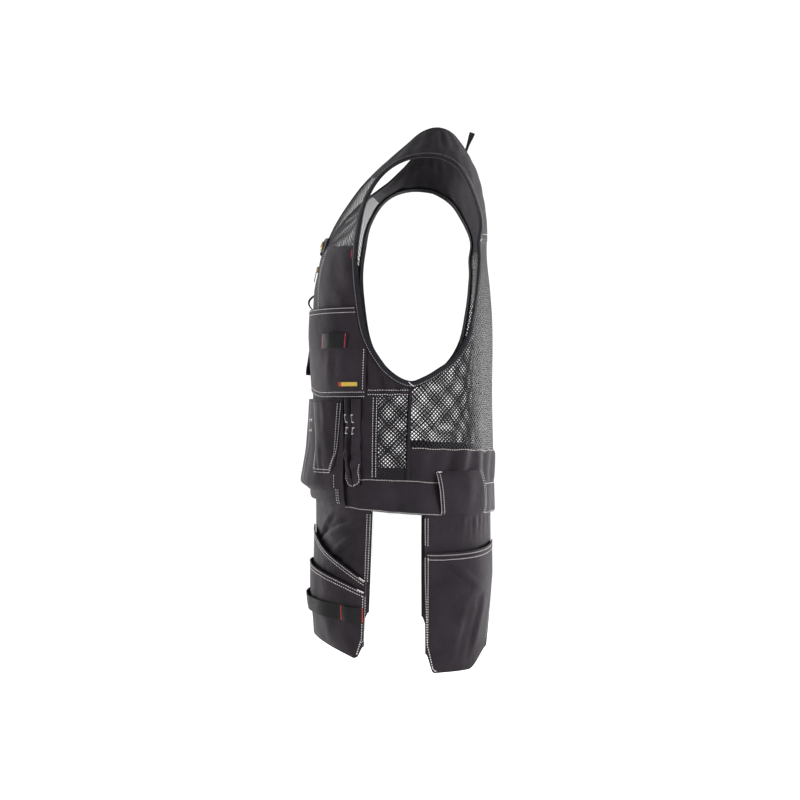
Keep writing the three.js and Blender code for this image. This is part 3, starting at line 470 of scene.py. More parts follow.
@dataclass(frozen=True)
class Finish:
    """What every finish has: its name, a slot name that nothing here reads, its colours and its patterns by
    name.
    """

    name: str
    slot: str
    light: str
    dark: str
    roughness: float = 0.85
    sheen: float = 0.0
    metallic: float = 0.0
    specular: float = 0.05
    rib: float = 1.5
    # size of the blotches in millimetres, and detail
    grains: ClassVar[Grains] = {}
    # direction across and down the piece's own cloth map, and share of the distance between two ribs
    waves: ClassVar[Waves] = {}
    # pattern and depth in millimetres, the deepest first
    reliefs: ClassVar[Reliefs] = ()

    def material(self) -> bpy.types.Material:
        """The material, made once.

        Returns:
            The material with its patterns, colour and relief.
        """
        if self.name in bpy.data.materials:
            return bpy.data.materials[self.name]
        made = bpy.data.materials.new(self.name)
        made.use_nodes = True
        tree = made.node_tree
        tree.nodes.clear()
        look: Look = {}
        for name, (size, detail) in self.grains.items():
            place = add_node(tree, "ShaderNodeTexCoord").outputs["Object"]
            grain = {"Vector": place, "Scale": 1.0 / (size * MM), "Detail": detail, "Roughness": 0.55}
            look[name] = add_node(tree, "ShaderNodeTexNoise", grain).outputs[0]
        for name, (across, down, share) in self.waves.items():
            step = 2 * math.pi / (self.rib * share * MM)
            cloth = add_node(tree, "ShaderNodeUVMap", uv_map="cloth").outputs[0]
            sockets = {0: cloth, 1: (across * step, down * step, 0)}
            phase = add_node(tree, "ShaderNodeVectorMath", sockets, operation="DOT_PRODUCT").outputs["Value"]
            look[name] = add_node(tree, "ShaderNodeMath", {0: phase}, operation="SINE").outputs[0]
        inputs = {
            "Roughness": self.roughness,
            "Metallic": self.metallic,
            "Specular IOR Level": self.specular,
            "Sheen Weight": self.sheen,
            "Sheen Roughness": 0.5,
        }
        inputs |= self.dress(tree, look)
        bumped: dict[str, object] = {}
        for name, depth in self.reliefs:
            bump = {"Height": look[name], "Distance": depth * MM, "Strength": 1.0} | bumped
            bumped = {"Normal": add_node(tree, "ShaderNodeBump", bump).outputs[0]}
        shader = add_node(tree, "ShaderNodeBsdfPrincipled", inputs | bumped)
        add_node(tree, "ShaderNodeOutputMaterial", {"Surface": shader.outputs[0]})
        return made

    def dress(self, tree: bpy.types.NodeTree, look: Look) -> dict[str, object]:
        """What feeds the shader: here its colour, between dark and light by the first pattern."""
        tones = {0: next(iter(look.values())), 6: srgb(self.dark), 7: srgb(self.light)}
        return {"Base Color": add_node(tree, "ShaderNodeMix", tones, data_type="RGBA").outputs[2]}


@dataclass(frozen=True)
class Twill(Finish):
    """Piece-dyed cotton and polyester twill, its ribs drawn twice as far apart as real to show at all."""

    grains: ClassVar[Grains] = {"blotch": (34, 3.0), "crease": (15, 2.0), "fibre": (1.4, 2.0)}
    waves: ClassVar[Waves] = {"ribs": (0.8, 0.6, 1.0), "cross": (0.6, -0.8, 0.75)}
    reliefs: ClassVar[Reliefs] = (
        ("crease", 1.1),
        ("fibre", 0.12),
        ("cross", 0.02),
        ("ribs", 0.05),
    )

    def dress(self, tree: bpy.types.NodeTree, look: Look) -> dict[str, object]:
        """Washed blotches with paler fibres on them.

        Args:
            tree: The material's nodes.
            look: The patterns.

        Returns:
            The colour.
        """
        limits = {"Value": look["blotch"], "From Min": 0.3, "From Max": 0.72}
        washed = add_node(tree, "ShaderNodeMapRange", limits).outputs[0]
        tones = {0: washed, 6: srgb(self.dark), 7: srgb(self.light)}
        ground = add_node(tree, "ShaderNodeMix", tones, data_type="RGBA").outputs[2]
        speck = add_node(tree, "ShaderNodeMapRange", {"Value": look["fibre"], "To Max": 0.22}).outputs[0]
        tones = {0: speck, 6: ground, 7: srgb(self.light)}
        return {"Base Color": add_node(tree, "ShaderNodeMix", tones, data_type="RGBA").outputs[2]}


@dataclass(frozen=True)
class Net(Finish):
    """Knitted polyester net with uneven dye and loops of yarn."""

    grains: ClassVar[Grains] = {"dye": (25, 3.0), "loops": (0.9, 1.0)}
    reliefs: ClassVar[Reliefs] = (("loops", 0.15),)


@dataclass(frozen=True)
class Tape(Finish):
    """Woven polyester tape with ribs across it and threads along it."""

    grains: ClassVar[Grains] = {"blotch": (12, 3.0)}
    waves: ClassVar[Waves] = {"ribs": (1.0, 0.0, 1.0), "threads": (0.0, 1.0, 0.8)}
    reliefs: ClassVar[Reliefs] = (("blotch", 0.3), ("threads", 0.05), ("ribs", 0.12))

    def dress(self, tree: bpy.types.NodeTree, look: Look) -> dict[str, object]:
        """Lighter ribs, more so in blotches.

        Args:
            tree: The material's nodes.
            look: The patterns.

        Returns:
            The colour.
        """
        limits = {"Value": look["ribs"], "From Min": -1.0, "From Max": 1.0}
        level = add_node(tree, "ShaderNodeMapRange", limits).outputs[0]
        factors = {0: level, 1: look["blotch"]}
        woven = add_node(tree, "ShaderNodeMath", factors, operation="MULTIPLY").outputs[0]
        tones = {0: woven, 6: srgb(self.dark), 7: srgb(self.light)}
        return {"Base Color": add_node(tree, "ShaderNodeMix", tones, data_type="RGBA").outputs[2]}


@dataclass(frozen=True)
class Thread(Finish):
    """Twisted polyester sewing thread, soiled from stitch to stitch."""

    grains: ClassVar[Grains] = {"soil": (9, 2.0), "twist": (0.5, 1.0)}
    reliefs: ClassVar[Reliefs] = (("twist", 0.12),)


@dataclass(frozen=True)
class Brass(Finish):
    """Antique brass: pressed, darkened and rubbed bright again."""

    grains: ClassVar[Grains] = {"patina": (2.5, 4.0), "rubbing": (0.8, 2.0)}
    reliefs: ClassVar[Reliefs] = (("rubbing", 0.03),)

    def dress(self, tree: bpy.types.NodeTree, look: Look) -> dict[str, object]:
        """Dark rough patina in blotches.

        Args:
            tree: The material's nodes.
            look: The patterns.

        Returns:
            The colour and the roughness.
        """
        limits = {"Value": look["patina"], "From Min": 0.35, "From Max": 0.65}
        rubbed = add_node(tree, "ShaderNodeMapRange", limits).outputs[0]
        tones = {0: rubbed, 6: srgb(self.dark), 7: srgb(self.light)}
        colour = add_node(tree, "ShaderNodeMix", tones, data_type="RGBA").outputs[2]
        limits = {"Value": look["patina"], "To Min": self.roughness + 0.15, "To Max": 0.28}
        return {"Base Color": colour, "Roughness": add_node(tree, "ShaderNodeMapRange", limits).outputs[0]}


@dataclass(frozen=True)
class Plastic(Finish):
    """Moulded acetal of zip teeth."""

    grains: ClassVar[Grains] = {"skin": (1.2, 1.0)}
    reliefs: ClassVar[Reliefs] = (("skin", 0.03),)


@dataclass(frozen=True)
class Tag(Finish):
    """Damask-woven tag: a plain ground with an end of another colour and dark borders."""

    end: str = "#6a1f1a"
    end_length: float = 6.5
    height: float = 8.0
    border: float = 1.1
    waves: ClassVar[Waves] = {"weave": (1.0, 0.0, 1.0), "picks": (0.0, 1.0, 0.8)}
    reliefs: ClassVar[Reliefs] = (("weave", 0.08), ("picks", 0.05))

    def dress(self, tree: bpy.types.NodeTree, look: Look) -> dict[str, object]:
        """Bands across the tag by its own cloth map.

        Args:
            tree: The material's nodes.
            look: The patterns.

        Returns:
            The colour.
        """
        cloth = add_node(tree, "ShaderNodeUVMap", uv_map="cloth").outputs[0]
        parts = add_node(tree, "ShaderNodeSeparateXYZ", {0: cloth}).outputs
        dark, colour = srgb(self.dark), srgb(self.end)
        # which coordinate, from where on, and the colours below and above; None is what was there
        bands = (
            (0, self.end_length, None, srgb(self.light)),
            (1, self.height - self.border, None, dark),
            (1, self.border, dark, None),
        )
        for axis, limit, below, above in bands:
            sockets = {0: parts[axis], 1: limit * MM}
            over = add_node(tree, "ShaderNodeMath", sockets, operation="GREATER_THAN").outputs[0]
            tones = {0: over, 6: below or colour, 7: above or colour}
            colour = add_node(tree, "ShaderNodeMix", tones, data_type="RGBA").outputs[2]
        limits = {"Value": look["weave"], "From Min": -1.0, "To Max": 0.25}
        level = add_node(tree, "ShaderNodeMapRange", limits).outputs[0]
        tones = {0: level, 6: colour, 7: dark}
        return {"Base Color": add_node(tree, "ShaderNodeMix", tones, data_type="RGBA").outputs[2]}


# Matt near-black cloth with a faint purple cast, uneven from washing, whose sheen lifts its edges a little.
TWILL = Twill("washed_charcoal_twill", "twill", "#191519", "#100e11", 0.84, 0.02)
# Black yarn that catches a dull light, so that the holes read as a pattern.
NET = Net("knitted_black_net", "net", "#151316", "#0c0b0d", 0.6, 0.02)
# Ribbed tape, a shade darker and smoother than the twill, which draws the openings as thin lines.
BOUND_TAPE = Tape("ribbed_binding_tape", "binding_tape", "#17151a", "#0d0c0f", 0.7, 0.02, rib=1.2)
# Dense webbing, the darkest cloth, with coarse ribs that show as fine bars.
WEBBING = Tape("woven_webbing", "webbing", "#131214", "#0a0a0b", 0.75, 0.02, rib=2.0)
# Pale thread, so that every seam stands out from the dark cloth as a dashed line.
THREAD = Thread("pale_grey_thread", "twill", "#a6a3a2", "#7a7776", 0.6)
# Thread of the chest bars, which gives small dull red accents.
RED_THREAD = Thread("red_thread", "twill", "#762836", "#501822", 0.55)
# Thread of the holster bars, which gives accents of a warmer red.
ORANGE_THREAD = Thread("orange_red_thread", "twill", "#84342a", "#5c1f1b", 0.55)
# Thread on tape, which hardly stands out.
DARK_THREAD = Thread("grey_thread", "twill", "#757273", "#4a484a", 0.6)
# Real metal with a dark patina, whose rubbed spots glint.
BRASS = Brass("antique_brass", "brass", "#a08a5a", "#3d3324", 0.4, 0.0, 1.0, 0.5)
# Hard black teeth with a soft gloss.
PLASTIC = Plastic("moulded_zip_teeth", "zip", "#26262a", "#17171a", 0.45, specular=0.5)
# Small woven patch of dull yellow with a red end, the one light spot on the cloth.
TAG = Tag("woven_tag", "label", "#867131", "#2c2310", 0.8, rib=1.0)


def lengths(line: Array) -> Array:
    """Length along a line at each of its points."""
    return np.concatenate([[0], np.linalg.norm(np.diff(line, axis=0), axis=1).cumsum()])


def extent(shape: Shape) -> tuple[float, float]:
    """Greatest width and height of a shape, in millimetres.

    Args:
        shape: The surface.

    Returns:
        Width and height in millimetres.
    """
    line = np.linspace(0, 1, 60)
    fixed = [np.full(60, at) for at in (0.05, 0.5, 0.95)]
    wide = max(lengths(shape(line, at))[-1] for at in fixed)
    return wide, max(lengths(shape(at, line))[-1] for at in fixed)


def mesh_of(made: bmesh.types.BMesh) -> bpy.types.Mesh:
    """Mesh of what was made, which is let go.

    Args:
        made: What was made.

    Returns:
        The mesh.
    """
    mesh = bpy.data.meshes.new("made")
    made.to_mesh(mesh)
    made.free()
    return mesh


def lay_out(made: bmesh.types.BMesh, points: Array, flat: Array) -> None:
    """Moves the vertices and keeps where they lay in the flat cloth as its map.

    Args:
        made: The flat cloth.
        points: Where its vertices go, in millimetres.
        flat: Where they lay, in millimetres.
    """
    made.verts.index_update()
    for vert, point in zip(made.verts, points * MM):
        vert.co = point
    layer = made.loops.layers.uv.new("cloth")
    for face in made.faces:
        for loop in face.loops:
            loop[layer].uv = flat[loop.vert.index] * MM


def add_other_half(made: bmesh.types.BMesh) -> None:
    """Mirrors a half at the centre plane and turns the whole outwards.

    Args:
        made: The left half.
    """
    bmesh.ops.mirror(made, geom=made.verts[:] + made.edges[:] + made.faces[:], merge_dist=1e-5, axis="X")
    bmesh.ops.remove_doubles(made, verts=made.verts[:], dist=1e-6)
    bmesh.ops.recalc_face_normals(made, faces=made.faces[:])
    made.normal_update()
    out = 0.0
    for face in made.faces:
        middle = face.calc_center_median()
        out += Vector((middle.x, middle.y + 0.05, 0.0)).dot(face.normal) * face.calc_area()
    if out < 0:
        bmesh.ops.reverse_faces(made, faces=made.faces[:])


def walled(mesh: bpy.types.Mesh, wall: float) -> bpy.types.Mesh:
    """Closed mesh with a real thickness, its sharp edges marked.

    Args:
        mesh: An open sheet that faces outwards, which is let go.
        wall: Thickness in millimetres, outside the sheet.

    Returns:
        The new mesh.
    """
    sheet = bpy.data.objects.new("sheet_in_hand", mesh)
    bpy.context.scene.collection.objects.link(sheet)
    solidify = sheet.modifiers.new("wall", "SOLIDIFY")
    solidify.thickness, solidify.offset, solidify.use_even_offset = wall * MM, 1.0, False
    bpy.context.view_layer.update()
    made = bpy.data.meshes.new_from_object(sheet.evaluated_get(bpy.context.evaluated_depsgraph_get()))
    bpy.data.objects.remove(sheet)
    bpy.data.meshes.remove(mesh)
    made.shade_smooth()
    made.set_sharp_from_angle(angle=math.radians(50))
    return made


@dataclass
class Workshop:
    """Makes pieces on the body, hangs them from one root and hides the frame's nodes that they stand for."""

    body: Body = field(default_factory=Body)
    count: int = 0

    def hand_over(
        self,
        name: str,
        mesh: bpy.types.Mesh,
        finish: Finish,
        node: str = "",
        size: tuple[float, float] | None = None,
        cut: Cut = Cut.PAIR,
    ) -> None:
        """Dresses pieces, lets them ride and hides the frame's node that they stand for.

        Args:
            name: Plain name, which gets the side's letter in a pair.
            mesh: The left or only piece.
            finish: What it is made of.
            node: Name of the frame's node that it stands for, if any.
            size: Width and length that it was cut from in millimetres, if it is cloth.
            cut: Which halves to make it for.
        """
        for side in "LR" if cut is Cut.PAIR else "R" if cut is Cut.RIGHT else "L":
            twin, tail = mesh.copy(), f"_{side}" if cut is Cut.PAIR else ""
            if side == "R":
                twin.transform(Matrix.Scale(-1.0, 4, Vector((1.0, 0.0, 0.0))))
                twin.flip_normals()
            twin.materials.clear()
            twin.materials.append(finish.material())
            piece = bpy.data.objects.new(name + tail, twin)
            bpy.context.scene.collection.objects.link(piece)
            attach(piece, "root")
            if node:
                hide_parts(node + tail)
            if size:
                area = sum(face.area for face in twin.polygons) / 2
                width, length = (max(value * MM, 0.011) for value in size)
                length = max(length, area / width * 1.01)
            self.count += 1
            log.info("%s: %d faces", piece.name, len(twin.polygons))

    def cloth(
        self,
        name: str,
        node: str,
        shape: Shape,
        cells: tuple[int, int],
        finish: Finish = TWILL,
        wall: float = CLOTH,
        cut: Cut = Cut.PAIR,
    ) -> Shape:
        """Bends a grid of cells into one cut of cloth and hands it over.

        Args:
            name: Plain name of the piece.
            node: Name of the frame's node that it stands for.
            shape: Where its inner face lies.
            cells: Cells across and down.
            finish: What it is made of.
            wall: Its thickness in millimetres.
            cut: Which halves to make it for.

        Returns:
            The shape, to sew on.
        """
        made = bmesh.new()
        bmesh.ops.create_grid(made, x_segments=cells[0], y_segments=cells[1], size=0.5)
        flat = np.array([v.co for v in made.verts])
        s, t = flat[:, 0] + 0.5, 0.5 - flat[:, 1]
        wide, tall = extent(shape)
        lay_out(made, shape(s, t), np.stack([s * wide, t * tall], 1))
        if cut is Cut.JOINED:
            wide *= 2
            for vert in made.verts:
                if abs(vert.co.x) < 2e-4:
                    vert.co.x = 0.0
            add_other_half(made)
        self.hand_over(name, walled(mesh_of(made), wall), finish, node, (wide, tall), cut)
        return shape

    def on_body(self, place: Place, lift: Lift | float) -> Shape:
        """Shape of a piece that lies on the body.

        Args:
            place: Its places on the body.
            lift: Its height over the body in millimetres.

        Returns:
            The shape.
        """

        def shape(s: Array, t: Array) -> Array:
            """Points for shares across and down.

            Args:
                s: Shares across.
                t: Shares down.

            Returns:
                Points in millimetres.
            """
            s, t = np.broadcast_arrays(np.asarray(s, float), np.asarray(t, float))
            at = At(*place(s, t), s, t)
            return self.body.point(at.angle, at.drop, lift(at) if callable(lift) else lift)

        return shape


@dataclass
class Seams:
    """Rows of thread and short dense bars on the pieces of one sub-assembly."""

    shop: Workshop
    name: str
    finish: Finish = THREAD
    cut: Cut = Cut.PAIR
    length: float = 2.7
    pitch: float = 3.7
    width: float = 1.15
    rise: float = 0.7
    mesh: bmesh.types.BMesh = field(default_factory=bmesh.new)

    def normal(self, shape: Shape, s: Array, t: Array) -> tuple[Array, Array, Array]:
        """Unit normal and the two steps of a shape.

        Args:
            shape: The surface.
            s: Shares across.
            t: Shares down.

        Returns:
            The normals, and the steps for a whole share across and down.
        """
        e = 0.004
        across = (shape(s + e, t) - shape(s - e, t)) / (2 * e)
        down = (shape(s, t + e) - shape(s, t - e)) / (2 * e)
        out = np.cross(down, across)
        return out / np.linalg.norm(out, axis=-1, keepdims=True), across, down

    def path(
        self, shape: Shape, marks: Sequence[tuple[float, float]], aside: float, over: float
    ) -> tuple[Array, Array]:
        """Line on a shape through marks, moved aside.

        Args:
            shape: The surface.
            marks: Shares across and down.
            aside: Millimetres to the side.
            over: Height over the shape in millimetres.

        Returns:
            Points and normals along the line.
        """
        knots = np.array(marks, float)
        steps = np.linspace(0, len(knots) - 1, 60 * (len(knots) - 1) + 1)
        s, t = (np.interp(steps, range(len(knots)), knots[:, i]) for i in (0, 1))
        for _ in range(2 if aside else 0):
            out, across, down = self.normal(shape, s, t)
            run = np.gradient(shape(s, t), axis=0)
            run = run / np.maximum(np.linalg.norm(run, axis=1, keepdims=True), 1e-9)
            shift = np.cross(out, run) * aside / 2
            s = s + (shift * across).sum(1) / (across**2).sum(1)
            t = t + (shift * down).sum(1) / (down**2).sum(1)
        out, _, _ = self.normal(shape, s, t)
        return shape(s, t) + out * over, out

    def row(
        self,
        shape: Shape,
        marks: Sequence[tuple[float, float]],
        rows: int = 1,
        gap: float = 6.0,
        aside: float = 0.0,
        over: float = CLOTH,
    ) -> None:
        """Sews parallel rows of stitches.

        Args:
            shape: The surface that is sewn.
            marks: Shares across and down that the first row runs through.
            rows: How many rows.
            gap: Millimetres from row to row.
            aside: Millimetres that the first row is moved to the side.
            over: Height of the cloth's outer face over the shape.
        """
        for k in range(rows):
            line, out = self.path(shape, marks, aside + k * gap, over + 0.1)
            run = lengths(line)
            number = max(int(run[-1] / self.pitch), 1)
            for at in (np.arange(number) + 0.5) * run[-1] / number:
                start, end = ([np.interp(x, run, column) for column in line.T] for x in (at - 0.6, at + 0.6))
                up = [np.interp(at, run, column) for column in out.T]
                self.stitch(np.add(start, end) / 2, np.subtract(end, start), up, self.length)

    def bar(
        self,
        shape: Shape,
        start: tuple[float, float],
        end: tuple[float, float],
        width: float = 2.4,
        over: float = CLOTH,
    ) -> None:
        """Sews a short dense bar of cross stitches.

        Args:
            shape: The surface that is sewn.
            start: First place, as shares across and down.
            end: Last place.
            width: Width of the bar in millimetres.
            over: Height of the cloth's outer face over the shape.
        """
        line, out = self.path(shape, (start, end), 0.0, over + 0.3)
        run = lengths(line)
        number = max(int(run[-1] / 0.8), 3)
        for at in (np.arange(number) + 0.5) * run[-1] / number:
            middle, up = ([np.interp(at, run, column) for column in values.T] for values in (line, out))
            self.stitch(middle, np.cross(up, line[-1] - line[0]), up, width)

    def stitch(self, middle: Array, run: Array, up: Array, length: float) -> None:
        """Lays one rounded stitch.

        Args:
            middle: Its middle in millimetres.
            run: Direction along it.
            up: Direction away from the cloth.
            length: Its length in millimetres.
        """
        x = Vector(run).normalized()
        y = Vector(up).normalized().cross(x).normalized()
        turn = Matrix((x, y, x.cross(y))).transposed().to_4x4()
        size = Matrix.Diagonal((length / 2, self.width / 2, self.rise / 2, 1.0))
        place = Matrix.Scale(MM, 4) @ Matrix.Translation(Vector(middle)) @ turn @ size
        bmesh.ops.create_icosphere(self.mesh, subdivisions=1, radius=1.0, matrix=place)

    def finish_off(self) -> None:
        """Hands the thread over."""
        mesh = mesh_of(self.mesh)
        mesh.shade_smooth()
        self.shop.hand_over(self.name, mesh, self.finish, cut=self.cut)


@dataclass
class Panels:
    """Twill panels of the body: yoke, chest, lower front, waist and hem band."""

    shop: Workshop
    yoke_turns: tuple[float, float, float] = (47.0, -32.0, -57.0)
    yoke_marks: tuple[float, float, float] = (50.0, 100.0, 200.0)
    yoke_bend: float = 18 / 22
    yoke_centre: float = 0.29
    chest_turn: float = 92.0
    chest_centre: float = 0.302
    chest_bend: float = 10 / 11
    pocket_seam: float = 0.697
    side_angle: float = 92.0
    strip_angle: float = 71.5
    waist_side: float = 0.824
    waist_centre: float = 0.84
    zip_width: float = 14.0
    strip_folds: tuple[Pull, ...] = (
        Pull((200, 350), (209, 414), 4.0, 3.2),
        Pull((214, 362), (226, 418), 3.5, -3.0),
        Pull((231, 372), (236, 420), 4.0, 3.2),
        Pull((250, 390), (247, 420), 3.5, -2.4),
    )

    def chest_seam(self, angle: Array) -> Array:
        """Level of the seam over the chest."""
        outer = self.shop.body.armhole(self.chest_turn, self.shop.body.binding_width)
        return lerp(self.chest_centre, outer[1], angle / outer[0])

    def yoke(self, s: Array, t: Array) -> Spot:
        """Place on the yoke.

        Args:
            s: Share from the armhole to the neck.
            t: Share from the front over the shoulder to the back.

        Returns:
            Angle and drop.
        """
        body = self.shop.body
        ends = (0, self.yoke_bend, 1)
        turn, along = (np.interp(t, ends, row) for row in (self.yoke_turns, self.yoke_marks))
        inner = body.neck(np.minimum(along, 100), body.neck_binding_width)
        angle, drop = between(inner, (180.0, self.yoke_centre), np.clip((along - 100) / 100, 0, 1))
        inner = np.where(along >= 100, 180.0, angle), drop
        return between(body.armhole(turn, body.binding_width), inner, s)

    def chest(self, s: Array, t: Array) -> Spot:
        """Place on the chest panel with the strip under the armhole.

        Args:
            s: Share from the centre to the armhole.
            t: Share down.

        Returns:
            Angle and drop.
        """
        body, share = self.shop.body, self.chest_bend
        outer = body.armhole(lerp(self.chest_turn, 180.0, np.minimum(t / share, 1)), body.binding_width)
        outer = between(outer, (self.side_angle, self.pocket_seam), np.clip((t - share) / (1 - share), 0, 1))
        top = body.armhole(self.chest_turn, body.binding_width)[1]
        level = lerp(self.chest_centre, self.pocket_seam, (outer[1] - top) / (self.pocket_seam - top))
        return between((body.front_angle(self.zip_width / 2, level), level), outer, s)

    def lower_front(self, s: Array, t: Array) -> Spot:
        """Place on the twill behind the big pockets."""
        angle = lerp(self.shop.body.front_angle(self.zip_width / 2, self.pocket_seam), self.strip_angle, s)
        return angle, lerp(self.pocket_seam, self.shop.body.hem_top(angle), t)

    def waist(self, s: Array, t: Array) -> Spot:
        """Place on the twill round the back of the waist."""
        angle = lerp(self.side_angle, 180.0, s)
        return angle, lerp(lerp(self.waist_side, self.waist_centre, s), self.shop.body.hem_top(angle), t)

    def hem_band(self, s: Array, t: Array) -> Spot:
        """Place on the band round the hem."""
        angle = lerp(self.shop.body.front_angle(self.zip_width / 2, 0.903), 180.0, s)
        return angle, lerp(self.shop.body.hem_top(angle), self.shop.body.hem_bottom(angle), t)

    def soft(
        self,
        amount: float,
        seed: int,
        size: float,
        upright: float,
        pulls: Sequence[Pull] = (),
        rim: float = 0.12,
    ) -> Lift:
        """Uneven lift that vanishes at the seams.

        Args:
            amount: Height of its waves in millimetres.
            seed: Picks the waves.
            size: Distance between two crests in millimetres.
            upright: A low share draws the waves out downwards.
            pulls: Folds on it, in millimetres round and down the body.
            rim: Share of the panel over which it vanishes.

        Returns:
            The lift.
        """

        def lift(at: At) -> Array:
            """Lift in millimetres.

            Args:
                at: The places.

            Returns:
                The height in millimetres.
            """
            calm = smooth(np.minimum(np.minimum(at.s, 1 - at.s), np.minimum(at.t, 1 - at.t)) / rim)
            u, v = at.angle * DEGREE, at.drop * self.shop.body.length
            return calm * (amount * ripple(u, v * upright, size, seed) + creased(pulls, u, v))

        return lift

    def build(self) -> None:
        """Makes the panels and their seams."""
        chest_waves = (1.2, 5, 42, 1.0, self.strip_folds, 0.035)
        yoke, chest, lower, waist, band = (
            self.shop.cloth(name, node, self.shop.on_body(place, self.soft(*waves)), cells, cut=cut)
            for name, node, place, waves, cells, cut in (
                ("yoke_twill", "shoulder_yoke", self.yoke, (1.0, 3, 38, 1.0), (30, 110), Cut.JOINED),
                ("chest_twill", "chest_panel", self.chest, chest_waves, (90, 84), Cut.PAIR),
                ("lower_front_twill", "lower_front", self.lower_front, (1.1, 7, 30, 0.3), (60, 34), Cut.PAIR),
                ("waist_twill", "waist_panel", self.waist, (2.6, 11, 24, 0.2), (110, 22), Cut.JOINED),
                ("hem_band_twill", "hem_band", self.hem_band, (2.1, 13, 30, 0.3), (190, 16), Cut.JOINED),
            )
        )
        seams = Seams(self.shop, "panel_stitches")
        seams.row(waist, ((0.02, 0.03), (0.5, 0.03), (0.995, 0.03)))
        seams.row(band, ((0.02, 0.03), (0.5, 0.03), (0.995, 0.03)))
        seams.row(band, ((0.285, 0.965), (0.5, 0.965), (0.995, 0.965)))
        seams.row(lower, ((0.985, 0.02), (0.985, 0.98)), 2, 5.5, 0.5)
        seams.row(chest, ((0.72, 0.99), (0.985, 0.99)), 2, 6.6)
        seams.row(chest, ((0.42, 0.02), (0.38, 0.5)), 2, 5.0, -2.5)
        seams.row(yoke, ((0.06, 0.985), (0.98, 0.985)))
        seams.finish_off()
        bars = Seams(self.shop, "chest_bar", RED_THREAD)
        bars.bar(chest, (0.985, 0.02), (0.985, 0.075))
        bars.finish_off()


